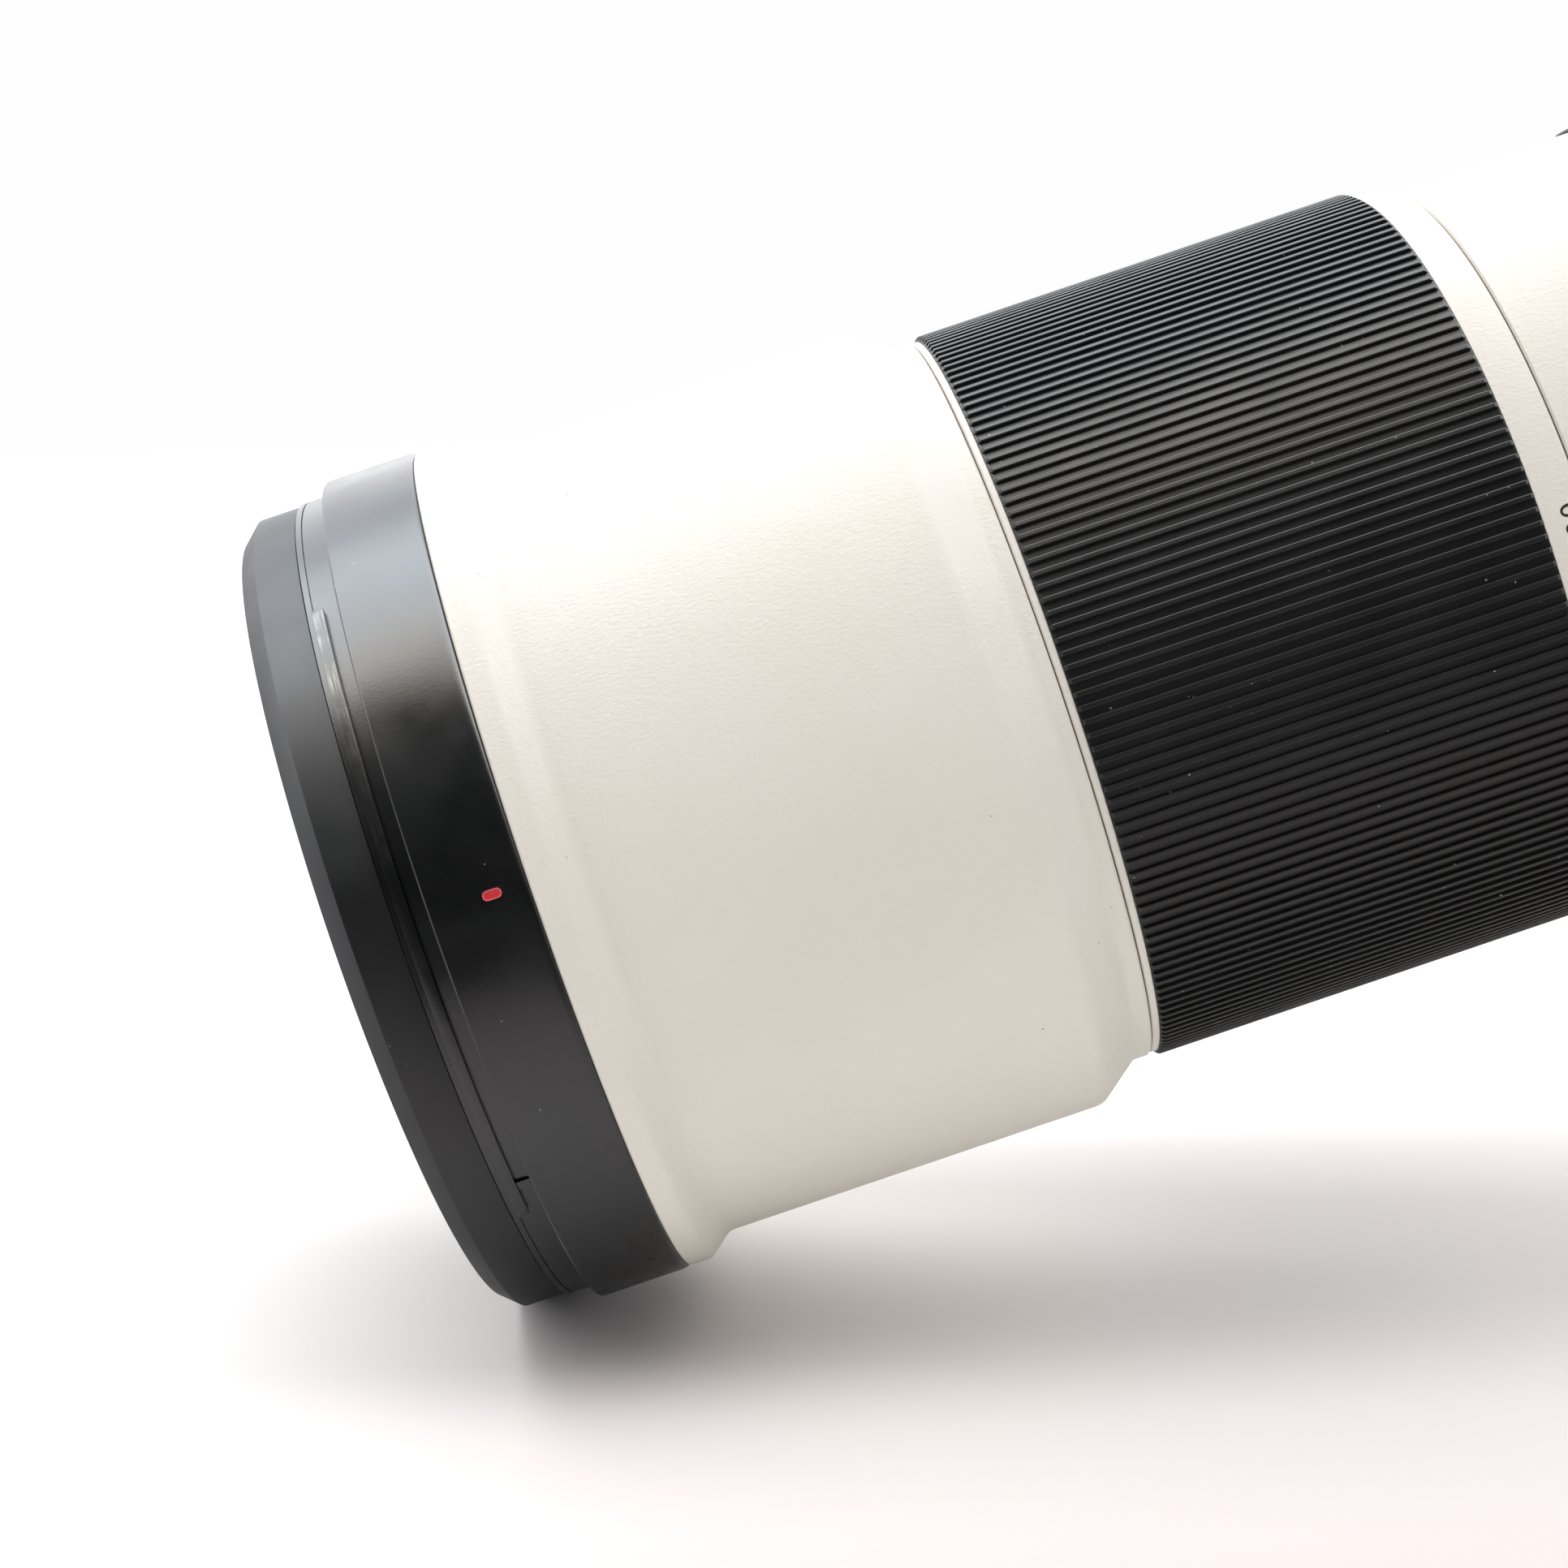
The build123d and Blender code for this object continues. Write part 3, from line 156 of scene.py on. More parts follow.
def turnTo(piece, clock):
    piece.data.transform(Matrix.Rotation(math.radians(clock), 4, "X"))
    return piece


def joinOn(pieces, name):
    pick(pieces[0])
    for other in pieces[1:]:
        other.select_set(True)
    bpy.ops.object.join()
    return settle(pieces[0], name)


def copies(piece, name, clocks):
    # one shape, modelled at clock 0, copied round the barrel and joined
    made = []
    for clock in clocks:
        other = piece.copy()
        other.data = piece.data.copy()
        bpy.context.scene.collection.objects.link(other)
        made.append(turnTo(other, clock))
    bpy.data.objects.remove(piece)
    return joinOn(made, name)


def place(piece, body, slot, *stoodFor):
    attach(piece, body)
    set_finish(piece, slot)
    if stoodFor:
        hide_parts(*stoodFor)


# blanks: turned ring, arc, block, round-ended bar

def drawOut(outline, axisZ=0.0):
    # in edit mode, a circle is extruded from corner to corner of its outline (x, radius)
    bpy.ops.mesh.select_mode(type="VERT")
    bpy.ops.mesh.select_all(action="SELECT")
    for before, after in zip(outline, outline[1:]):
        step = (after[0] - before[0]) * mm
        growth = after[1] / before[1]
        bpy.ops.mesh.extrude_region_move(TRANSFORM_OT_translate={"value": (step, 0, 0)})
        bpy.ops.transform.resize(value=(1, growth, growth), center_override=(after[0] * mm, 0, axisZ * mm))


def turnRing(name, outline, rounding, sides=240):
    putDown()
    startX, startRadius = outline[0]
    bpy.ops.mesh.primitive_circle_add(
        vertices=sides, radius=startRadius * mm, location=(startX * mm, 0, 0), rotation=(0, math.pi / 2, 0)
    )
    ring = settle(bpy.context.object, name)
    bpy.ops.object.mode_set(mode="EDIT")
    drawOut(outline)
    selectWhere(ring, "EDGE", lambda edge: edge.is_boundary)
    bpy.ops.mesh.bridge_edge_loops()
    cleanShell(ring)
    if rounding:
        roundEdges(ring, rounding)
    smooth(ring)
    return ring


def arcBlock(name, lowX, highX, lowRadius, highRadius, middle, span, steps):
    # a flat section spun about the lens axis, its middle turned to a clock angle
    putDown()
    bpy.ops.mesh.primitive_plane_add(
        size=1, location=((lowX + highX) / 2 * mm, 0, (lowRadius + highRadius) / 2 * mm),
        rotation=(math.pi / 2, 0, 0),
    )
    block = bpy.context.object
    block.scale = ((highX - lowX) * mm, (highRadius - lowRadius) * mm, 1)
    settle(block, name)
    bpy.ops.object.mode_set(mode="EDIT")
    bpy.ops.mesh.select_all(action="SELECT")
    bpy.ops.mesh.spin(steps=steps, angle=math.radians(span), center=(0, 0, 0), axis=(1, 0, 0))
    cleanShell(block)
    clocks = [clockOf(vertex.co) for vertex in block.data.vertices]
    return turnTo(block, middle - (min(clocks) + max(clocks)) / 2)


def makeBlock(name, middleX, length, width, lowZ, highZ):
    putDown()
    bpy.ops.mesh.primitive_cube_add(size=1, location=(middleX * mm, 0, (lowZ + highZ) / 2 * mm))
    block = bpy.context.object
    block.scale = (length * mm, width * mm, (highZ - lowZ) * mm)
    return settle(block, name)


def slotBar(name, length, width, lowRadius, highRadius, middleX, clock):
    # a round-ended bar that stands on the barrel, its length along the lens
    putDown()
    bpy.ops.mesh.primitive_cylinder_add(
        vertices=32, radius=width / 2 * mm, depth=(highRadius - lowRadius) * mm,
        location=(middleX * mm, 0, (lowRadius + highRadius) / 2 * mm),
    )
    bar = settle(bpy.context.object, name)
    bpy.ops.object.mode_set(mode="EDIT")
    bpy.ops.mesh.select_all(action="SELECT")
    bpy.ops.mesh.bisect(plane_co=(middleX * mm, 0, 0), plane_no=(1, 0, 0))
    for side in (-1, 1):
        selectWhere(bar, "VERT", lambda vertex: (vertex.co.x - middleX * mm) * side > sameSpot)
        bpy.ops.transform.translate(value=(side * (length - width) / 2 * mm, 0, 0))
    bpy.ops.object.mode_set(mode="OBJECT")
    return turnTo(bar, clock)


# front rings: filter rim, bezel, hood bayonet with its mark

seatRadius = radiusOf("front_cell")  # the front rings sit on the front cell

rimLook = {
    "chamferLength": 2.3, "chamferHeight": 2.1, "land": 1.6, "mouthLength": 2.0, "sleeveWall": 1.6,
    "boreRadius": 46.85, "threadRadius": 47.5, "threadLength": 4.5, "threadTurns": 6, "threadDepth": 0.36,
    "flankShare": 0.45, "rootShare": 0.6, "rounding": 0.14, "sides": 300,
}


def makeFilterRing():
    look = rimLook
    front, rear, radius = frontOf("filter_ring"), rearOf("filter_ring"), radiusOf("filter_ring")
    bayonetFront, cellFront = frontOf("hood_bayonet_ring"), frontOf("front_cell")
    edge = radius - look["chamferHeight"]
    sleeveBore = seatRadius - look["sleeveWall"]
    mouthEnd = front + look["mouthLength"]
    threadEnd = mouthEnd + look["threadLength"]
    pitch = look["threadLength"] / look["threadTurns"]
    root = look["threadRadius"] + look["threadDepth"]
    thread = []
    for turn in range(look["threadTurns"]):
        x = threadEnd - turn * pitch
        thread += [(x, look["threadRadius"]), (x - pitch * look["flankShare"], root)]
        thread += [(x - pitch * look["rootShare"], root)]
    outline = [
        (front, edge - look["land"]), (front, edge), (front + look["chamferLength"], radius),
        (bayonetFront, radius), (bayonetFront, seatRadius), (rear, seatRadius), (rear, sleeveBore),
        (cellFront, sleeveBore), (cellFront, look["boreRadius"]), (threadEnd, look["boreRadius"]),
        *thread, (mouthEnd, look["threadRadius"]),
    ]
    ring = turnRing("filterRing", outline, look["rounding"], look["sides"])
    place(ring, "barrel", "black_satin", "filter_ring")
    return ring


bezelLook = {
    "lip": 1.2, "openingRadius": 43.8, "openingLength": 1.2, "steps": 7, "stepRise": 0.02, "rounding": 0.04,
}


def makeFrontBezel():
    look = bezelLook
    front, rear, radius = frontOf("front_bezel"), rearOf("front_bezel"), radiusOf("front_bezel")
    openingFront = rear - look["openingLength"]
    lipRadius = radius - look["lip"]
    steps = []
    for step in range(look["steps"]):
        share, halfway = step / look["steps"], (step + 0.5) / look["steps"]
        stepRadius = lipRadius - (lipRadius - look["openingRadius"]) * share
        steps.append((front + (openingFront - front) * share, stepRadius))
        steps.append((front + (openingFront - front) * halfway, stepRadius + look["stepRise"]))
    outline = [
        (rear, radius), (front, radius), *steps, (openingFront, look["openingRadius"]),
        (rear, look["openingRadius"]),
    ]
    bezel = turnRing("frontBezel", outline, look["rounding"])
    place(bezel, "barrel", "black_satin", "front_bezel")


# starts and ends are counted from the ring's front, rearCurve gives setback and drop at its rear,
# lugs and stops give middle and span in degrees from the red mark
bayonetLook = {
    "gapEnd": 0.14, "gapRadius": 53.5, "collarEnd": 0.88, "collarRadius": 54.05,
    "lineStart": 0.9, "lineEnd": 0.99, "lineRadius": 53.8,
    "channelStart": 1.0, "channelRadius": 53.98, "channelEnd": 4.2, "channelEndRadius": 54.2,
    "bandChamfer": 0.2, "rearCurve": ((1.05, 0.0), (0.6, 0.05), (0.3, 0.17), (0.1, 0.35), (0.0, 0.55)),
    "sides": 600, "edgeRounding": 0.03,
    "lug": {"start": 0.85, "end": 2.3, "foot": 53.6, "top": 54.8, "steps": 90, "rounding": 0.12},
    "stop": {"start": 2.2, "end": 4.3, "foot": 53.6, "top": 54.5, "steps": 3, "rounding": 0.12},
    "lugs": ((0.0, 87.4), (126.0, 66.0), (-130.5, 57.0)), "stops": ((38.5, 1.4),),
    "wornDepth": 0.2, "unworn": (-6.0, 50.0),
}
bandFront = frontOf("hood_bayonet_ring")
bandRear = rearOf("hood_bayonet_ring")
bandRadius = radiusOf("hood_bayonet_ring")

markLook = {
    "setback": 4.3, "length": 2.3, "width": 1.2, "depth": 0.6, "sunk": 0.05, "play": 0.02, "rounding": 0.03,
    "overrun": 0.85, "border": 0.13, "dip": 0.05, "highlightBorder": 0.15, "cleanRoom": 0.35,
}
markX = bandRear - markLook["setback"]


def ringOutline(look):
    chamfer, channelEnd, endRadius = look["bandChamfer"], look["channelEnd"], look["channelEndRadius"]
    frontPart = (
        (0.0, seatRadius), (0.0, look["gapRadius"]), (look["gapEnd"], look["gapRadius"]),
        (look["gapEnd"], look["collarRadius"]), (look["collarEnd"], look["collarRadius"]),
        (look["lineStart"], look["lineRadius"]), (look["lineEnd"], look["lineRadius"]),
        (look["channelStart"], look["channelRadius"]), (channelEnd, endRadius),
        (channelEnd, bandRadius - chamfer), (channelEnd + chamfer, bandRadius),
    )
    outline = [(bandFront + along, radius) for along, radius in frontPart]
    outline += [(bandRear - setback, bandRadius - drop) for setback, drop in look["rearCurve"]]
    return [*outline, (bandRear, seatRadius)]


def cutMarkSlot(ring):
    # two cuts round the band first, so that the slot's edges don't shade the whole band
    bpy.ops.object.mode_set(mode="EDIT")
    for side in (-1, 1):
        bpy.ops.mesh.select_all(action="SELECT")
        cutX = markX + side * (markLook["length"] / 2 + markLook["cleanRoom"])
        bpy.ops.mesh.bisect(plane_co=(cutX * mm, 0, 0), plane_no=(1, 0, 0))
    bpy.ops.object.mode_set(mode="OBJECT")
    carve(ring, slotBar(
        "markSlot", markLook["length"], markLook["width"], bandRadius - markLook["depth"],
        bandRadius + markLook["overrun"], markX, barrelRoll,
    ))


def makeRaised(name, look, middle, span):  # a lug or the stop, on the channel's floor
    block = arcBlock(
        name, bandFront + look["start"], bandFront + look["end"], look["foot"], look["top"],
        barrelRoll + middle, span, look["steps"],
    )
    roundEdges(block, look["rounding"], steps=2, angle=40)
    return block


def makeHoodBayonetRing():
    look = bayonetLook
    ring = turnRing("hoodBayonetRing", ringOutline(look), 0.0, look["sides"])
    cutMarkSlot(ring)
    roundEdges(ring, look["edgeRounding"], steps=2, angle=40)
    lugs = [makeRaised("lug", look["lug"], *arc) for arc in look["lugs"]]
    stops = [makeRaised("stop", look["stop"], *arc) for arc in look["stops"]]
    ring = joinOn([ring, *lugs, *stops], "hoodBayonetRing")
    smooth(ring, angle=28)
    place(ring, "barrel", "black_satin", "hood_bayonet_ring")
    return ring


def makeIndexMark():
    look = markLook
    mark = slotBar(
        "hoodIndexMark", look["length"] - look["play"], look["width"] - look["play"],
        bandRadius - look["depth"], bandRadius - look["sunk"], markX, 0,
    )
    bpy.ops.object.mode_set(mode="EDIT")
    selectWhere(mark, "FACE", looksUp)
    bpy.ops.mesh.inset(thickness=look["border"] * mm, depth=-look["dip"] * mm)
    bpy.ops.object.mode_set(mode="OBJECT")
    roundEdges(mark, look["rounding"], steps=2, angle=25)
    smooth(mark, angle=30)
    turnTo(mark, barrelRoll)
    place(mark, "barrel", "red_paint", "hood_index_mark")
    return mark


filterRing = makeFilterRing()
makeFrontBezel()
hoodBayonetRing = makeHoodBayonetRing()
hoodIndexMark = makeIndexMark()
print("front rings made")


# white front barrel: a lip, a slope down to the body, a shoulder down to the neck

barrelLook = {
    "lipLength": 3.0, "slopeLength": 3.1, "bodyRadius": 53.03, "shoulderSetback": 7.7, "neckLength": 2.2,
    "neckRadius": 48.9, "neckBore": 46.5, "neckBoreLength": 4.05, "boreSetback": 9.55, "chamfer": 0.25,
    "lipBevel": 0.5, "slopeBevel": 0.7, "shoulderBevel": 0.8, "neckBevel": 0.4, "bevelSteps": 4,
    "rounding": 0.08, "sides": 300,
}


def bevelCorner(ring, x, radius, width, steps):  # in edit mode, one corner of a turned outline
    def atCorner(vertex):
        offX = abs(vertex.co.x - x * mm)
        return offX < sameSpot and abs(outFromAxis(vertex.co) - radius * mm) < sameSpot

    selectWhere(ring, "EDGE", lambda edge: all(atCorner(vertex) for vertex in edge.verts))
    bpy.ops.mesh.bevel(offset=width * mm, segments=steps, affect="EDGES")


def makeFrontBarrel():
    look = barrelLook
    front, rear, radius = frontOf("front_barrel"), rearOf("front_barrel"), radiusOf("front_barrel")
    chamfer, body, neck, bore = look["chamfer"], look["bodyRadius"], look["neckRadius"], look["neckBore"]
    lipEnd = front + look["lipLength"]
    slopeEnd = lipEnd + look["slopeLength"]
    shoulder = rear - look["shoulderSetback"]
    neckFront = rear - look["neckLength"]
    outline = [
        (front, seatRadius), (front, radius - chamfer), (front + chamfer, radius), (lipEnd, radius),
        (slopeEnd, body), (shoulder, body), (neckFront, neck), (rear - chamfer, neck), (rear, neck - chamfer),
        (rear, bore), (rear - look["neckBoreLength"], bore), (rear - look["boreSetback"], seatRadius),
    ]
    barrel = turnRing("frontBarrel", outline, 0.0, look["sides"])
    pick(barrel)
    bpy.ops.object.mode_set(mode="EDIT")
    bevelCorner(barrel, lipEnd, radius, look["lipBevel"], look["bevelSteps"])
    bevelCorner(barrel, slopeEnd, body, look["slopeBevel"], look["bevelSteps"])
    bevelCorner(barrel, shoulder, body, look["shoulderBevel"], look["bevelSteps"])
    bevelCorner(barrel, neckFront, neck, look["neckBevel"], look["bevelSteps"])
    bpy.ops.object.mode_set(mode="OBJECT")
    roundEdges(barrel, look["rounding"], steps=2, angle=30)
    smooth(barrel, angle=24)
    place(barrel, "barrel", "white_enamel", "front_barrel")


makeFrontBarrel()
print("front barrel made")


# zoom and focus rings: a white sleeve with a seat for the rubber, and the ribbed rubber itself

zoomSleeveLook = {
    "bore": 46.56, "seat": 47.9, "frontRadius": 48.68, "coneRadius": radiusOf("zoom_ring"),
    "rearRadius": 47.8, "chamfer": 0.25, "rounding": 0.12, "sides": 300,
}
focusSleeveLook = {
    "bore": 46.56, "seat": 47.4, "frontRadius": radiusOf("focus_ring"), "coneRadius": radiusOf("focus_ring"),
    "rearRadius": radiusOf("focus_ring"), "chamfer": 0.25, "rounding": 0.12, "sides": 240,
}


def makeSleeve(name, node, gripNode, body, look):
    front, rear = frontOf(node), rearOf(node)
    gripFront, gripRear = frontOf(gripNode), rearOf(gripNode)
    chamfer, seat = look["chamfer"], look["seat"]
    outline = [
        (front, look["bore"]), (front, look["frontRadius"] - chamfer), (front + chamfer, look["frontRadius"]),
        (gripFront, look["frontRadius"]), (gripFront, seat), (gripRear, seat), (gripRear, look["coneRadius"]),
        (rear - chamfer, look["rearRadius"]), (rear, look["rearRadius"] - chamfer), (rear, look["bore"]),
    ]
    place(turnRing(name, outline, look["rounding"], look["sides"]), body, "white_enamel", node)


zoomGripLook = {
    "ribs": 186, "seat": zoomSleeveLook["seat"], "grooveDepth": 0.47, "landShare": 0.4, "edge": 0.13,
    "endSlope": 0.42, "rimDrop": 0.42,
}
focusGripLook = {
    "ribs": 150, "seat": focusSleeveLook["seat"], "grooveDepth": 0.43, "landShare": 0.4, "edge": 0.12,
    "endSlope": 0.36, "rimDrop": 0.38,
}
rubberShape = {
    "rimWidth": 0.3, "rimChamfer": 0.1, "rimSlope": 0.08, "rounding": 0.03, "ribRoot": 0.1, "endPlay": 0.04,
    "margin": 0.02, "edgeTurn": 0.6,
}


def makeGripSleeve(name, look, front, rear, crest):
    shape = rubberShape
    top, floor = crest - look["rimDrop"], crest - look["grooveDepth"]
    chamfer, rim = shape["rimChamfer"], shape["rimWidth"]
    foot = rim + shape["rimSlope"]
    outline = [
        (front, look["seat"]), (front, top - chamfer), (front + chamfer, top), (front + rim, top),
        (front + foot, floor), (rear - foot, floor),
        (rear - rim, top), (rear - chamfer, top), (rear, top - chamfer), (rear, look["seat"]),
    ]
    return turnRing(name, outline, shape["rounding"], look["ribs"] * 2)


def makeRib(name, look, front, rear, crest):
    # a bar with sloped ends and bevelled upper edges, open underneath, where it sinks into the sleeve
    shape = rubberShape
    width = 2 * math.pi * crest / look["ribs"] * look["landShare"]
    foot = crest - look["grooveDepth"] - shape["ribRoot"]
    rib = makeBlock(name, (front + rear) / 2, rear - front - shape["endPlay"], width, foot, crest)
    bpy.ops.object.mode_set(mode="EDIT")
    top = crest * mm - sameSpot
    slopeFoot = (crest - look["endSlope"] - shape["margin"]) * mm

    def acrossEnd(edge):
        one, other = (vertex.co for vertex in edge.verts)
        return min(one.z, other.z) > top and abs(one.x - other.x) < sameSpot

    def alongLand(edge):
        one, other = (vertex.co for vertex in edge.verts)
        upper = min(one.z, other.z) > slopeFoot and abs(one.y - other.y) < sameSpot
        return upper and edge.calc_face_angle(0) > shape["edgeTurn"]

    selectWhere(rib, "EDGE", acrossEnd)
    bpy.ops.mesh.bevel(offset=look["endSlope"] * mm, segments=1, affect="EDGES")
    selectWhere(rib, "EDGE", alongLand)
    bpy.ops.mesh.bevel(offset=look["edge"] * mm, segments=2, affect="EDGES")
    selectWhere(rib, "FACE", lambda face: face.normal.z < -0.9)
    bpy.ops.mesh.delete(type="FACE")
    bpy.ops.object.mode_set(mode="OBJECT")
    return rib


def makeGrip(name, node, body, look):
    ends = frontOf(node), rearOf(node), radiusOf(node)
    sleeve = makeGripSleeve(name + "Sleeve", look, *ends)
    rib = makeRib(name + "Rib", look, *ends)
    pitch = 360 / look["ribs"]
    ribs = copies(rib, name + "Ribs", [barrelRoll + number * pitch for number in range(look["ribs"])])
    grip = joinOn([sleeve, ribs], name)
    smooth(grip, angle=20)
    place(grip, body, "rubber", node)


makeSleeve("zoomRing", "zoom_ring", "zoom_grip", "zoom", zoomSleeveLook)
makeGrip("zoomGrip", "zoom_grip", "zoom", zoomGripLook)
makeSleeve("focusRing", "focus_ring", "focus_grip", "focus_ring", focusSleeveLook)
makeGrip("focusGrip", "focus_grip", "focus_ring", focusGripLook)
print("zoom and focus rings made")


# focal lengths on the zoom ring's cone, and the line that they are read at

scaleLook = {
    "marks": (("200", 0.17), ("300", 23.5), ("400", 41.5), ("500", 56.0), ("600", 68.7)),
    "setback": 1.9, "radius": 48.14, "proud": 0.012, "coneDrop": 11.63, "height": 2.5, "pitch": 2.57,
    "thick": 0.03,
}
lineLook = {"setback": 0.55, "length": 3.9, "width": 0.5, "sunk": 0.04, "proud": 0.015}


def makeDigit(name, sign, height):
    putDown()
    bpy.ops.object.text_add()
    text = bpy.context.object
    text.data.body = sign
    text.data.align_x = "CENTER"
    text.data.align_y = "CENTER"
    bpy.ops.object.convert(target="MESH")
    digit = bpy.context.object
    across = [vertex.co.x for vertex in digit.data.vertices]
    upward = [vertex.co.y for vertex in digit.data.vertices]
    middle = Vector(((max(across) + min(across)) / 2, (max(upward) + min(upward)) / 2, 0))
    digit.data.transform(Matrix.Translation(-middle))
    digit.data.transform(Matrix.Scale(height * mm / (max(upward) - min(upward)), 4))
    return settle(digit, name)


def makeNumber(name, value, clock):
    # the tops of the digits point to the front
    look = scaleLook
    x = rearOf("zoom_ring") - look["setback"]
    digits = []
    for index, sign in enumerate(value):
        digit = makeDigit(name + sign, sign, look["height"])
        digit.data.transform(Matrix.Rotation(math.radians(90), 4, "Z"))
        digit.data.transform(Matrix.Rotation(math.radians(look["coneDrop"]), 4, "Y"))
        digit.data.transform(Matrix.Translation((x * mm, 0, (look["radius"] + look["proud"]) * mm)))
        fromMiddle = (len(value) - 1) / 2 - index
        digits.append(turnTo(digit, barrelRoll + clock + fromMiddle * look["pitch"]))
    number = joinOn(digits, name)
    thicken = number.modifiers.new("thickness", "SOLIDIFY")
    thicken.thickness = look["thick"] * mm
    thicken.offset = -1
    bpy.ops.object.modifier_apply(modifier=thicken.name)
    place(number, "zoom", "black_plastic")


def makeIndexLine():
    look = lineLook
    radius = radiusOf("button_barrel")
    middle = frontOf("button_barrel") + look["setback"] + look["length"] / 2
    line = slotBar(
        "zoomIndexLine", look["length"], look["width"], radius - look["sunk"], radius + look["proud"],
        middle, barrelRoll,
    )
    place(line, "barrel", "black_plastic")


for value, clock in scaleLook["marks"]:
    makeNumber("zoomNumber" + value, value, clock)
makeIndexLine()
print("scale made")


# hold buttons, switches, mount screws

buttonLook = {
    "turns": (-90, 0, 90), "x": -133.1, "radius": 6.9, "top": 47.9, "bottom": 46.3, "sides": 96,
    "land": 1.0, "dish": 0.25, "dishSteps": 5, "stepWidth": 1.1, "firstDrop": 0.36, "dropLoss": 0.08,
    "rounding": 0.3,
}


def makeHoldButton(number, clock):
    look = buttonLook
    node = "hold_button_" + str(number)
    putDown()
    bpy.ops.mesh.primitive_cylinder_add(
        vertices=look["sides"], radius=look["radius"] * mm, depth=(look["top"] - look["bottom"]) * mm,
        location=(look["x"] * mm, 0, (look["top"] + look["bottom"]) / 2 * mm),
    )
    button = settle(bpy.context.object, "holdButton" + str(number))
    bpy.ops.object.mode_set(mode="EDIT")
    selectWhere(button, "FACE", looksUp)
    bpy.ops.mesh.inset(thickness=look["land"] * mm, depth=0)
    for step in range(look["dishSteps"]):
        drop = look["dish"] * (look["firstDrop"] - look["dropLoss"] * step)
        bpy.ops.mesh.inset(thickness=look["stepWidth"] * mm, depth=-drop * mm)
    bpy.ops.object.mode_set(mode="OBJECT")
    roundEdges(button, look["rounding"], steps=3, angle=40)
    smooth(button, angle=40)
    turnTo(button, clock)
    place(button, node, "button_grey", node)


switchLook = {
    "clocks": (154.25, 164.75, 175.25, 185.75), "x": -81.1, "length": 4.0, "width": 3.0, "top": 49.65,
    "bottom": 47.55, "grooves": 4, "grooveDepth": 0.3, "rounding": 0.08,
}


def makeSwitch(number, clock):
    look = switchLook
    node = "switch_" + str(number)
    knob = makeBlock(
        "switch" + str(number), look["x"], look["length"], look["width"], look["bottom"], look["top"]
    )
    front = look["x"] - look["length"] / 2
    step = look["length"] / (look["grooves"] * 2 + 1)
    bpy.ops.object.mode_set(mode="EDIT")
    for cut in range(1, look["grooves"] * 2 + 1):
        bpy.ops.mesh.select_all(action="SELECT")
        bpy.ops.mesh.bisect(plane_co=((front + cut * step) * mm, 0, 0), plane_no=(1, 0, 0))
    # ridges and grooves take turns along the knob, and a ridge is at either end
    middles = [(front + (2 * groove + 1.5) * step) * mm for groove in range(look["grooves"])]

    def isGroove(face):
        x = face.calc_center_median().x
        return looksUp(face) and any(abs(x - middle) < sameSpot for middle in middles)

    selectWhere(knob, "FACE", isGroove)
    bpy.ops.mesh.extrude_region_move(TRANSFORM_OT_translate={"value": (0, 0, -look["grooveDepth"] * mm)})
    cleanShell(knob)
    roundEdges(knob, look["rounding"], steps=2, angle=40)
    smooth(knob, angle=40)
    turnTo(knob, clock)
    place(knob, node, "switch_grey", node)


screwLook = {
    "count": 4, "firstClock": 45, "circle": 27.0, "headRadius": 1.9, "headHeight": 1.1, "shankRadius": 1.0,
    "length": 6.5, "sides": 48, "slotDepth": 0.7, "slotWidth": 0.5, "slotReach": 1.25, "slotTurn": 20,
    "rounding": 0.05,
}


def makeMountScrews():
    look = screwLook
    putDown()
    bpy.ops.mesh.primitive_circle_add(
        vertices=look["sides"], radius=look["headRadius"] * mm, fill_type="NGON",
        location=(0, 0, look["circle"] * mm), rotation=(0, math.pi / 2, 0),
    )
    screw = settle(bpy.context.object, "screw")
    bpy.ops.object.mode_set(mode="EDIT")
    shank = look["shankRadius"]
    outline = [(0.0, look["headRadius"]), (-look["headHeight"], shank), (-look["length"], shank)]
    drawOut(outline, look["circle"])
    selectWhere(screw, "EDGE", lambda edge: edge.is_boundary)
    bpy.ops.mesh.edge_face_add()
    cleanShell(screw)
    for turn in (0, 90):  # a cross slot
        depth, reach = look["slotDepth"], look["slotReach"]
        blade = makeBlock("blade", 0, depth * 2, reach * 2, -look["slotWidth"] / 2, look["slotWidth"] / 2)
        turnTo(blade, look["slotTurn"] + turn)
        blade.data.transform(Matrix.Translation((0, 0, look["circle"] * mm)))
        carve(screw, blade)
    roundEdges(screw, look["rounding"], steps=2, angle=35)
    clocks = [barrelRoll + look["firstClock"] + 360 / look["count"] * turn for turn in range(look["count"])]
    screws = copies(screw, "mountScrews", clocks)
    smooth(screws, angle=35)
    place(screws, "barrel", "steel", "mount_screws")


for number, turn in enumerate(buttonLook["turns"], 1):
    makeHoldButton(number, barrelRoll + turn)
for number, clock in enumerate(switchLook["clocks"], 1):
    makeSwitch(number, clock)
makeMountScrews()
print("buttons, switches and screws made")


# shader nodes that more than one place uses

def feed(tree, node, inputs):  # another node's output is linked, a number or colour is set
    for label, value in inputs.items():
        if isinstance(value, bpy.types.NodeSocket):
            tree.links.new(value, node.inputs[label])
        else:
            node.inputs[label].default_value = value


def mathNode(tree, operation, *values, clamp=False):
    node = tree.nodes.new("ShaderNodeMath")
    node.operation = operation
    node.use_clamp = clamp
    feed(tree, node, dict(enumerate(values)))
    return node.outputs[0]


def vectorNode(tree, operation, inputs):
    node = tree.nodes.new("ShaderNodeVectorMath")
    node.operation = operation
    feed(tree, node, inputs)
    return node.outputs


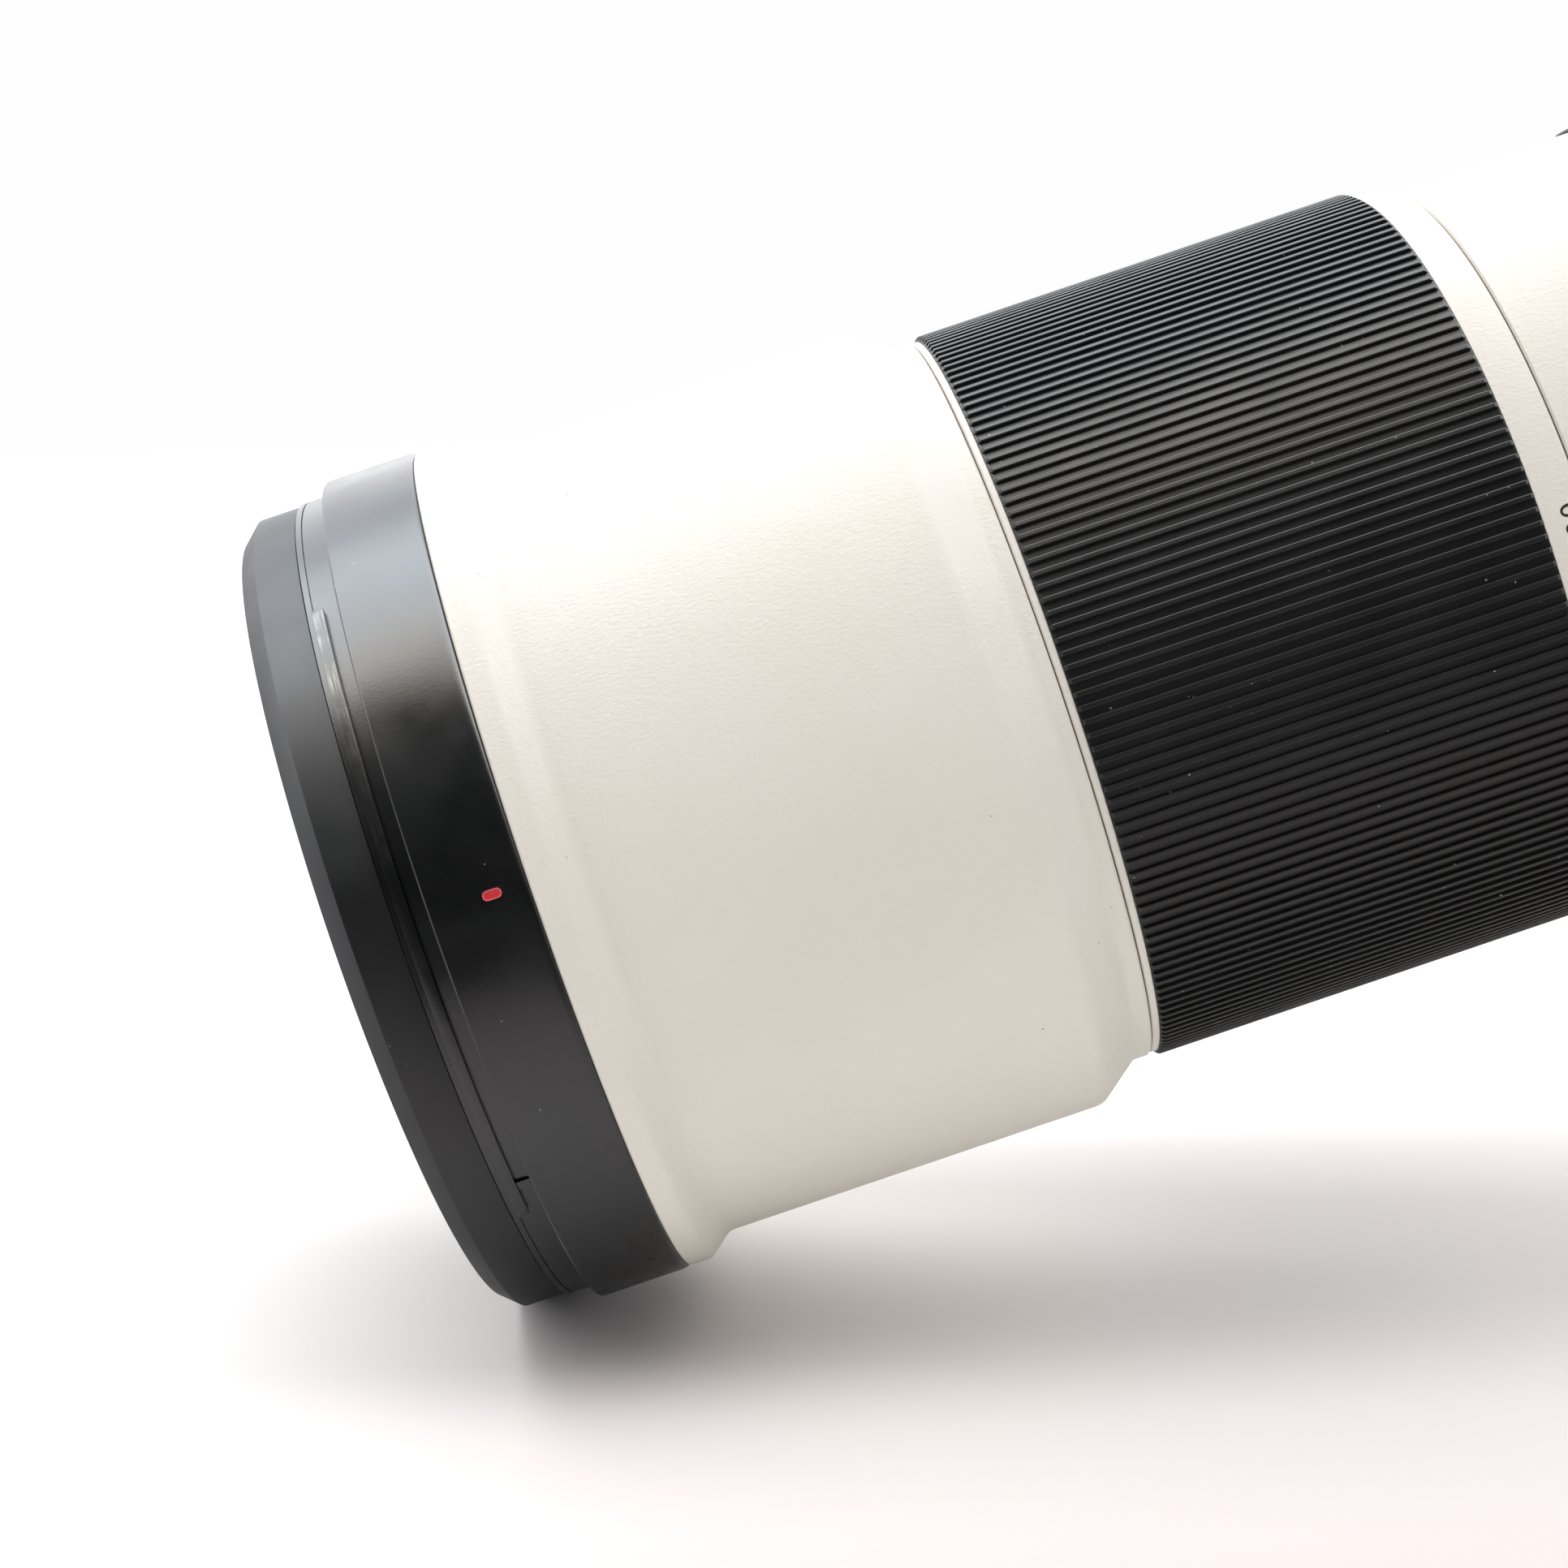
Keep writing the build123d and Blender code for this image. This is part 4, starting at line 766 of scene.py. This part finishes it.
def noiseNode(tree, coordinates, scale, detail, roughness):
    node = tree.nodes.new("ShaderNodeTexNoise")
    feed(tree, node, {"Vector": coordinates, "Scale": scale, "Detail": detail, "Roughness": roughness})
    return node.outputs["Fac"]


def rangeNode(tree, value, fromLow, fromHigh, toLow=0.0, toHigh=1.0):
    node = tree.nodes.new("ShaderNodeMapRange")
    feed(tree, node, {"Value": value, "From Min": fromLow, "From Max": fromHigh})
    feed(tree, node, {"To Min": toLow, "To Max": toHigh})
    return node.outputs["Result"]


def stretchNode(tree, coordinates, stretch):
    node = tree.nodes.new("ShaderNodeMapping")
    feed(tree, node, {"Vector": coordinates, "Scale": stretch})
    return node.outputs["Vector"]


def objectSpot(tree):
    return tree.nodes.new("ShaderNodeTexCoord").outputs["Object"]


def axesOf(tree, vector):
    node = tree.nodes.new("ShaderNodeSeparateXYZ")
    feed(tree, node, {"Vector": vector})
    return node.outputs


def mixColour(tree, share, first, second):
    node = tree.nodes.new("ShaderNodeMix")
    node.data_type = "RGBA"
    feed(tree, node, {"Factor": share, 6: first, 7: second})
    return node.outputs[2]


def mixShaders(tree, share, first, second):
    node = tree.nodes.new("ShaderNodeMixShader")
    feed(tree, node, {"Fac": share, 1: first, 2: second})
    return node.outputs["Shader"]


def groupNode(tree, group, **values):
    node = tree.nodes.new("ShaderNodeGroup")
    node.node_tree = group
    feed(tree, node, values)
    return node


def linear(colour):  # a screen colour of 0 to 255 in the shader's own scale
    parts = [part / 255 for part in colour]
    return (*(part / 12.92 if part <= 0.04 else ((part + 0.055) / 1.055) ** 2.4 for part in parts), 1.0)


# shared surface effects, each built once

def newGroup(name, inputs, outputs):
    tree = bpy.data.node_groups.new(name, "ShaderNodeTree")
    for label, value in inputs:
        socket = tree.interface.new_socket(name=label, in_out="INPUT", socket_type="NodeSocketFloat")
        socket.default_value = value
    for label in outputs:
        tree.interface.new_socket(name=label, in_out="OUTPUT", socket_type="NodeSocketFloat")
    return tree, tree.nodes.new("NodeGroupInput"), tree.nodes.new("NodeGroupOutput")


def buildGrain():  # fine wrinkle of sprayed enamel, moulded plastic or rubber, and its broad blotches
    tree, into, out = newGroup("surfaceGrain", (("Scale", 2500.0), ("Blotch", 60.0)), ("Height", "Tone"))
    spot = objectSpot(tree)
    alongLens = stretchNode(tree, spot, (0.6, 1.0, 1.0))
    fine = noiseNode(tree, alongLens, into.outputs["Scale"], detail=3.0, roughness=0.65)
    tone = noiseNode(tree, spot, into.outputs["Blotch"], detail=3.0, roughness=0.55)
    feed(tree, out, {"Height": fine, "Tone": rangeNode(tree, tone, fromLow=0.3, fromHigh=0.7)})
    return tree


def buildDust():  # sparse pale specks
    tree, into, out = newGroup("dustSpecks", (("Scale", 900.0), ("Share", 0.06)), ("Mask",))
    leastSize, sizeSpread = 0.06, 0.2  # in shares of a cell
    cells = tree.nodes.new("ShaderNodeTexVoronoi")
    feed(tree, cells, {"Vector": objectSpot(tree), "Scale": into.outputs["Scale"], "Randomness": 1.0})
    chance = tree.nodes.new("ShaderNodeSeparateColor")
    feed(tree, chance, {"Color": cells.outputs["Color"]})
    chosen = mathNode(tree, "LESS_THAN", chance.outputs["Red"], into.outputs["Share"])
    size = mathNode(tree, "MULTIPLY_ADD", chance.outputs["Green"], sizeSpread, leastSize)
    inside = mathNode(tree, "LESS_THAN", cells.outputs["Distance"], size)
    feed(tree, out, {"Mask": mathNode(tree, "MULTIPLY", chosen, inside)})
    return tree


def buildRubs():  # fine rubs round the lens, in patches, where something turns on it
    tree, into, out = newGroup("rubStreaks", (("Amount", 0.5), ("Fineness", 1.0)), ("Mask",))
    spot, fineness = objectSpot(tree), into.outputs["Fineness"]
    roundLens = stretchNode(tree, spot, (9000, 110, 110))
    everyWay = stretchNode(tree, spot, (120, 160, 160))
    streaks = noiseNode(tree, roundLens, fineness, detail=3.0, roughness=0.7)
    patches = noiseNode(tree, everyWay, fineness, detail=2.0, roughness=0.5)
    streaks = rangeNode(tree, streaks, fromLow=0.48, fromHigh=0.62)
    patches = rangeNode(tree, patches, fromLow=0.45, fromHigh=0.62)
    mixed = mathNode(tree, "MULTIPLY", streaks, patches)
    feed(tree, out, {"Mask": mathNode(tree, "MULTIPLY", mixed, into.outputs["Amount"], clamp=True)})
    return tree


def buildTurned():  # rings left by the lathe, about the lens axis
    tree, into, out = newGroup("turnedLines", (("Pitch", 0.0002),), ("Height",))
    axes = axesOf(tree, objectSpot(tree))
    squareY = mathNode(tree, "MULTIPLY", axes["Y"], axes["Y"])
    squareZ = mathNode(tree, "MULTIPLY", axes["Z"], axes["Z"])
    radius = mathNode(tree, "SQRT", mathNode(tree, "ADD", squareY, squareZ))
    along = mathNode(tree, "ADD", axes["X"], radius)
    turns = mathNode(tree, "DIVIDE", along, into.outputs["Pitch"])
    feed(tree, out, {"Height": mathNode(tree, "SINE", mathNode(tree, "MULTIPLY", turns, math.tau))})
    return tree


grain, dust, rubs, turned = buildGrain(), buildDust(), buildRubs(), buildTurned()


# materials: one look for each finish, its depths and pitches in mm

finishDefaults = {
    "metallic": 0.0, "specular": 0.5, "blotch": 60.0, "toneRoughness": 0.06, "dustRoughness": 0.4,
}


def bumpNode(tree, height, depth, **under):
    node = tree.nodes.new("ShaderNodeBump")
    feed(tree, node, {"Strength": 1.0, "Distance": depth * mm, "Height": height, **under})
    return node.outputs["Normal"]


def newMaterial(name):
    material = bpy.data.materials.new(name)
    material.use_nodes = True
    return material, material.node_tree, material.node_tree.nodes["Principled BSDF"]


def finish(name, look):
    look = {**finishDefaults, **look}
    material, tree, shader = newMaterial(name)
    feed(tree, shader, {"Metallic": look["metallic"], "Specular IOR Level": look["specular"]})
    surface = groupNode(tree, grain, Scale=look["grainScale"], Blotch=look["blotch"])
    tone = surface.outputs["Tone"]
    rough, spread = look["roughness"], look["toneRoughness"]
    roughness = rangeNode(tree, tone, 0.0, 1.0, toLow=rough - spread, toHigh=rough + spread)
    colour = mixColour(tree, tone, linear(look["colour"]), linear(look["otherColour"]))
    if "rub" in look:
        rubbed = groupNode(tree, rubs, Amount=look["rub"]).outputs["Mask"]
        colour = mixColour(tree, rubbed, colour, linear(look["rubColour"]))
    if "dust" in look:
        specks = groupNode(tree, dust, Scale=look["dustScale"], Share=look["dust"]).outputs["Mask"]
        colour = mixColour(tree, specks, colour, linear(look["dustColour"]))
        roughness = mathNode(tree, "MULTIPLY_ADD", specks, look["dustRoughness"], roughness)
    normal = bumpNode(tree, surface.outputs["Height"], look["grainDepth"])
    if "turnedPitch" in look:
        rings = groupNode(tree, turned, Pitch=look["turnedPitch"] * mm).outputs["Height"]
        normal = bumpNode(tree, rings, look["turnedDepth"], Normal=normal)
    feed(tree, shader, {"Base Color": colour, "Roughness": roughness, "Normal": normal})
    return material


glassLook = {
    "colour": (250, 252, 250), "coating": (150, 190, 175), "ior": 1.5, "coat": 0.6, "coatRoughness": 0.02,
    "grainScale": 700.0, "blotch": 40.0, "roughest": 0.025,
}


def makeGlass(name, look):
    material, tree, shader = newMaterial(name)
    tone = groupNode(tree, grain, Scale=look["grainScale"], Blotch=look["blotch"]).outputs["Tone"]
    feed(tree, shader, {
        "Base Color": linear(look["colour"]), "Transmission Weight": 1.0, "IOR": look["ior"],
        "Roughness": rangeNode(tree, tone, 0.0, 1.0, toHigh=look["roughest"]),
        "Coat Weight": look["coat"], "Coat Roughness": look["coatRoughness"],
        "Coat Tint": linear(look["coating"]), "Specular Tint": linear(look["coating"]),
    })
    return material


whiteLook = {
    "colour": (220, 215, 208), "otherColour": (217, 212, 204), "roughness": 0.42, "grainScale": 2300.0,
    "grainDepth": 0.1, "blotch": 45.0, "dust": 0.0015, "dustScale": 1500.0, "dustColour": (170, 165, 155),
}
satinBlackLook = {
    "colour": (86, 88, 89), "otherColour": (89, 90, 91), "roughness": 0.26, "metallic": 1.0,
    "grainScale": 2600.0, "grainDepth": 0.009, "blotch": 90.0, "dust": 0.003, "dustScale": 2200.0,
    "dustColour": (190, 188, 182),
}
wornBlackLook = {**satinBlackLook, "rub": 0.5, "rubColour": (176, 176, 173)}
rimBlackLook = {
    "colour": (78, 79, 81), "otherColour": (81, 82, 83), "roughness": 0.5, "metallic": 1.0,
    "grainScale": 2600.0, "grainDepth": 0.004, "blotch": 90.0, "dust": 0.003, "dustScale": 2200.0,
    "dustColour": (170, 168, 162),
}
rubberLook = {
    "colour": (22, 23, 24), "otherColour": (26, 27, 28), "roughness": 0.44, "specular": 0.66,
    "grainScale": 2400.0, "grainDepth": 0.006, "blotch": 120.0, "dust": 0.01, "dustScale": 1900.0,
    "dustColour": (150, 152, 152),
}
redLook = {
    "colour": (200, 36, 44), "otherColour": (192, 32, 40), "roughness": 0.42, "grainScale": 4000.0,
    "grainDepth": 0.004,
}
# paler red along the rim of the mark's slot: a painted highlight
redRimHighlightLook = {
    "colour": (238, 112, 120), "otherColour": (232, 100, 108), "roughness": 0.35, "grainScale": 4000.0,
    "grainDepth": 0.003,
}
sealLook = {
    "colour": (30, 31, 33), "otherColour": (42, 43, 45), "roughness": 0.6, "grainScale": 2600.0,
    "grainDepth": 0.008, "dust": 0.02, "dustScale": 900.0, "dustColour": (200, 198, 192),
}
anodisedLook = {
    "colour": (24, 24, 26), "otherColour": (30, 30, 32), "roughness": 0.55, "grainScale": 4000.0,
    "grainDepth": 0.004, "turnedPitch": 0.25, "turnedDepth": 0.004,
}
chromeLook = {
    "colour": (206, 206, 208), "otherColour": (194, 194, 197), "roughness": 0.2, "metallic": 1.0,
    "grainScale": 2600.0, "grainDepth": 0.001, "turnedPitch": 0.18, "turnedDepth": 0.0016, "rub": 0.35,
    "rubColour": (160, 158, 152),
}
boardLook = {
    "colour": (28, 84, 52), "otherColour": (34, 96, 60), "roughness": 0.35, "grainScale": 1800.0,
    "grainDepth": 0.01,
}


def metalLook(colour, otherColour, roughness, grainScale, grainDepth=0.002):
    return {
        "colour": colour, "otherColour": otherColour, "roughness": roughness, "metallic": 1.0,
        "grainScale": grainScale, "grainDepth": grainDepth,
    }


def plasticLook(colour, otherColour, roughness, grainScale, grainDepth=0.007):
    return {
        "colour": colour, "otherColour": otherColour, "roughness": roughness, "grainScale": grainScale,
        "grainDepth": grainDepth,
    }


materials = {
    "white_enamel": finish("whiteEnamel", whiteLook),
    "black_satin": finish("satinBlack", satinBlackLook),
    "rubber": finish("ribbedRubber", rubberLook),
    "red_paint": finish("redPaint", redLook),
    "seal_rubber": finish("sealRubber", sealLook),
    "glass": makeGlass("coatedGlass", glassLook),
    "anodised_black": finish("anodisedBlack", anodisedLook),
    "black_plastic": finish("blackPlastic", plasticLook((28, 28, 29), (34, 34, 35), 0.5, 3200.0, 0.008)),
    "blade_steel": finish("bladeSteel", metalLook((70, 71, 74), (84, 85, 88), 0.4, 3000.0)),
    "steel": finish("brightSteel", metalLook((190, 191, 194), (174, 175, 179), 0.26, 2400.0)),
    "roller_brass": finish("rollerBrass", metalLook((202, 168, 96), (186, 152, 84), 0.3, 2400.0)),
    "magnet": finish("magnetNickel", metalLook((150, 150, 150), (136, 136, 137), 0.35, 2200.0, 0.003)),
    "mount_metal": finish("mountChrome", chromeLook),
    "contact_gold": finish("contactGold", metalLook((226, 186, 104), (214, 172, 92), 0.22, 3000.0, 0.001)),
    "board_green": finish("boardGreen", boardLook),
    "button_grey": finish("buttonGrey", plasticLook((70, 71, 73), (76, 77, 79), 0.5, 3400.0)),
    "switch_grey": finish("switchGrey", plasticLook((52, 53, 55), (58, 59, 61), 0.48, 3400.0, 0.006)),
    "knob_black": finish("knobBlack", plasticLook((32, 32, 33), (39, 39, 40), 0.42, 3600.0)),
}
print("materials made:", len(materials))


# each piece gets the material of its slot, and some faces get one of their own

def dress(piece, material):
    piece.data.materials.clear()
    piece.data.materials.append(material)


def dressMark(mark, highlightMaterial):  # the paint is paler along the rim of the slot, a painted highlight where the rounded rim catches light
    look = markLook
    mark.data.materials.append(highlightMaterial)
    straight = (look["length"] - look["width"]) / 2
    for face in mark.data.polygons:
        spot = face.center / mm
        across = outFromAxis(spot) * math.radians(clockOf(spot) - barrelRoll)
        along = max(abs(spot.x - markX) - straight, 0)
        if look["width"] / 2 - math.hypot(along, across) < look["highlightBorder"]:
            face.material_index = 1


def dressLugs(ring, wornMaterial):  # the hood's claws have rubbed the tops of the lugs
    look = bayonetLook
    ring.data.materials.append(wornMaterial)
    unwornStart, unwornEnd = look["unworn"]
    for face in ring.data.polygons:
        spot = face.center / mm
        onLug = look["lug"]["start"] < spot.x - bandFront < look["lug"]["end"]
        onTop = onLug and outFromAxis(spot) > look["lug"]["top"] - look["wornDepth"]
        if onTop and not unwornStart < clockOf(spot) - barrelRoll < unwornEnd:
            face.material_index = 1


nodeSlots = {entry["node"]: entry["material_slot"] for entry in frame["record"]["subparts"]}
for nodeName, node in nodes.items():
    dress(node, materials[nodeSlots[nodeName]])
for piece in [thing for thing in bpy.data.objects if thing.type == "MESH" and thing.get("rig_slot")]:
    dress(piece, materials[piece["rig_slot"]])
dress(filterRing, finish("rimBlack", rimBlackLook))
dressMark(hoodIndexMark, finish("redPaintRimHighlight", redRimHighlightLook))
dressLugs(hoodBayonetRing, finish("wornBlack", wornBlackLook))
print("pieces dressed:", len(nodeSlots), "nodes with a slot")


# floor: pale paper, see-through far off and from below, with painted shade towards the front and in its
# reflections, and painted bounce light

tilt = math.radians(floorTilt)
floorUp = Vector((math.sin(tilt), 0, math.cos(tilt)))
floorFrame = Matrix.Rotation(tilt, 4, "Y")  # its Z is the floor's normal

# drop is in mm from the frame's origin, reaches and sideways ranges are in metres
floorLook = {
    "drop": 149.9146, "reach": 3.0, "solidReach": 0.9, "fadeReach": 1.5, "roughness": 0.9, "specular": 0.1,
    "colour": (234, 230, 230), "nearShadeColour": (226, 217, 216), "nearShadeTurn": (-0.1, -0.02),
    "bounceLightColour": (246, 245, 241), "mirrorDim": (-0.32, -0.08), "mirrorShare": 0.66,
    "mirrorShadeColour": (0.01, 0.01, 0.01, 1.0),
}


def makePaper(look):
    material, tree, shader = newMaterial("paleFloor")
    spot = objectSpot(tree)
    sideways = axesOf(tree, spot)["Y"]
    path = tree.nodes.new("ShaderNodeLightPath").outputs
    # towards the front the paper is painted darker and pinker: painted shade
    near = rangeNode(tree, sideways, *look["nearShadeTurn"], toLow=1.0, toHigh=0.0)
    paper = mixColour(tree, near, linear(look["colour"]), linear(look["nearShadeColour"]))
    # for light bounced onto the lens the paper is painted paler: painted bounce light
    paper = mixColour(tree, path["Is Diffuse Ray"], paper, linear(look["bounceLightColour"]))
    # for reflected rays the paper is painted darker towards the front: painted shade in the floor's
    # reflection
    reflectionShade = rangeNode(tree, sideways, *look["mirrorDim"], toLow=1.0, toHigh=1 - look["mirrorShare"])
    reflectionShade = mathNode(tree, "MULTIPLY", reflectionShade, path["Is Glossy Ray"])
    paper = mixColour(tree, reflectionShade, paper, look["mirrorShadeColour"])
    feed(tree, shader, {
        "Base Color": paper, "Roughness": look["roughness"], "Specular IOR Level": look["specular"],
    })
    far = vectorNode(tree, "LENGTH", {0: spot})["Value"]
    fade = rangeNode(tree, far, look["solidReach"], look["fadeReach"])
    below = tree.nodes.new("ShaderNodeNewGeometry").outputs["Backfacing"]
    hidden = mathNode(tree, "MAXIMUM", fade, below)
    clear = tree.nodes.new("ShaderNodeBsdfTransparent").outputs["BSDF"]
    surface = mixShaders(tree, hidden, shader.outputs["BSDF"], clear)
    feed(tree, tree.nodes["Material Output"], {"Surface": surface})
    return material


def makeFloor():
    look = floorLook
    putDown()
    bpy.ops.mesh.primitive_grid_add(x_subdivisions=2, y_subdivisions=2, size=look["reach"] * 2)
    floor = bpy.context.object
    floor.data.transform(floorFrame)
    floor.data.transform(Matrix.Translation(-floorUp * look["drop"] * mm))
    settle(floor, "floor")
    dress(floor, makePaper(look))


# light: a soft sky, another sky for reflections, and a white page behind all

# stops: degrees from the rear horizon over the top to the front one, and the light there
worldLook = {
    "soft": {
        "stops": (
            (27, (1.9, 1.9, 1.9)), (33, (2.77, 2.77, 2.77)), (57, (2.77, 2.77, 2.77)), (63, (0.0, 0.0, 0.0)),
            (87, (0.0, 0.0, 0.0)), (93, (2.6, 2.6, 2.6)), (117, (2.6, 2.6, 2.6)), (123, (0.0, 0.0, 0.0)),
            (147, (0.0, 0.0, 0.0)), (153, (0.48, 0.48, 0.48)),
        ),
        "strength": 2.8, "floor": (0.0, 0.0, 0.0, 1.0),
    },
    "mirrored": {
        "stops": (
            (0, (1.6, 1.6, 1.62)), (18, (2.1, 2.1, 2.15)), (38, (2.5, 2.55, 2.65)), (51, (2.4, 2.5, 2.65)),
            (60, (4.4, 4.6, 4.9)), (71, (5.6, 5.85, 6.1)), (82, (4.8, 5.0, 5.2)), (94, (4.8, 4.75, 4.65)),
            (107, (4.5, 4.1, 3.65)), (115, (1.3, 1.15, 1.05)), (120, (0.15, 0.14, 0.13)),
            (140, (0.06, 0.06, 0.06)), (180, (0.04, 0.04, 0.04)),
        ),
        "strength": 6.2, "floor": (0.05, 0.05, 0.05, 1.0),
    },
    "page": (0.99, 0.988, 0.99, 1.0), "horizonBlur": 0.03,
}


def makeSky(tree, around, above, look):
    ramp = tree.nodes.new("ShaderNodeValToRGB")
    feed(tree, ramp, {"Fac": around})
    stops = ramp.color_ramp.elements
    while len(stops) < len(look["stops"]):
        stops.new(0.5)
    for stop, (degrees, light) in zip(stops, look["stops"]):
        stop.position = degrees / 180
        stop.color = (*(part / look["strength"] for part in light), 1.0)
    bright = vectorNode(tree, "SCALE", {0: ramp.outputs["Color"], "Scale": look["strength"]})["Vector"]
    return glow(tree, mixColour(tree, above, look["floor"], bright))


def glow(tree, colour):
    node = tree.nodes.new("ShaderNodeBackground")
    feed(tree, node, {"Color": colour})
    return node.outputs["Background"]


def makeWorld():
    look = worldLook
    world = bpy.data.worlds.new("studio")
    bpy.context.scene.world = world
    world.use_nodes = True
    tree = world.node_tree
    direction = tree.nodes.new("ShaderNodeTexCoord").outputs["Generated"]
    upward = vectorNode(tree, "DOT_PRODUCT", {0: direction, 1: floorUp})["Value"]
    above = rangeNode(tree, upward, -look["horizonBlur"], look["horizonBlur"])
    height = mathNode(tree, "ARCTAN2", upward, axesOf(tree, direction)["Y"])
    around = mathNode(tree, "DIVIDE", height, math.pi, clamp=True)
    path = tree.nodes.new("ShaderNodeLightPath").outputs
    soft = makeSky(tree, around, above, look["soft"])
    mirrored = makeSky(tree, around, above, look["mirrored"])
    room = mixShaders(tree, path["Is Glossy Ray"], soft, mirrored)
    seen = mathNode(tree, "MAXIMUM", path["Is Camera Ray"], path["Is Transmission Ray"])
    light = mixShaders(tree, seen, room, glow(tree, look["page"]))
    feed(tree, tree.nodes["World Output"], {"Surface": light})


# sizes and places in metres, in the floor's frame
lampLook = {
    "overheadFront": {
        "size": (0.8, 0.3), "power": 1.7, "colour": (1.0, 0.97, 0.96), "place": (-0.56, -0.27, 0.9),
        "pitch": -8.0,
    },
    "overheadRear": {
        "size": (0.8, 0.46), "power": 5.2, "colour": (0.98, 0.995, 1.0), "place": (-0.56, 0.13, 0.9),
        "pitch": 5.0,
    },
}


def makeLamp(name, look):
    lamp = bpy.data.lights.new(name, "AREA")
    lamp.shape = "RECTANGLE"
    lamp.size, lamp.size_y = look["size"]
    lamp.energy = look["power"]
    lamp.color = look["colour"]
    holder = bpy.data.objects.new(name, lamp)
    bpy.context.scene.collection.objects.link(holder)
    turn = Matrix.Rotation(math.radians(look["pitch"]), 4, "X")
    holder.matrix_world = floorFrame @ Matrix.Translation(Vector(look["place"])) @ turn
    holder.visible_camera = False
    holder.visible_glossy = False


cameraLook = {
    "lens": 70.36, "sensor": 36.0, "nearest": 0.01, "place": (-0.26527, -0.39356, 0.08057),
    "right": (0.9474, -0.06977, -0.31235), "up": (0.3200, 0.18894, 0.92837),
}


def makeCamera():
    look = cameraLook
    camera = bpy.data.cameras.new("camera")
    camera.lens = look["lens"]
    camera.sensor_width = look["sensor"]
    camera.sensor_fit = "HORIZONTAL"
    camera.clip_start = look["nearest"]
    holder = bpy.data.objects.new("camera", camera)
    bpy.context.scene.collection.objects.link(holder)
    right = Vector(look["right"]).normalized()
    up = Vector(look["up"])
    up = (up - right * up.dot(right)).normalized()
    turn = Matrix((right, up, right.cross(up))).transposed().to_4x4()
    holder.matrix_world = Matrix.Translation(Vector(look["place"])) @ turn
    bpy.context.scene.camera = holder


makeFloor()
makeWorld()
for lampName, look in lampLook.items():
    makeLamp(lampName, look)
makeCamera()
bpy.context.scene.view_settings.view_transform = "Standard"
print("studio set")
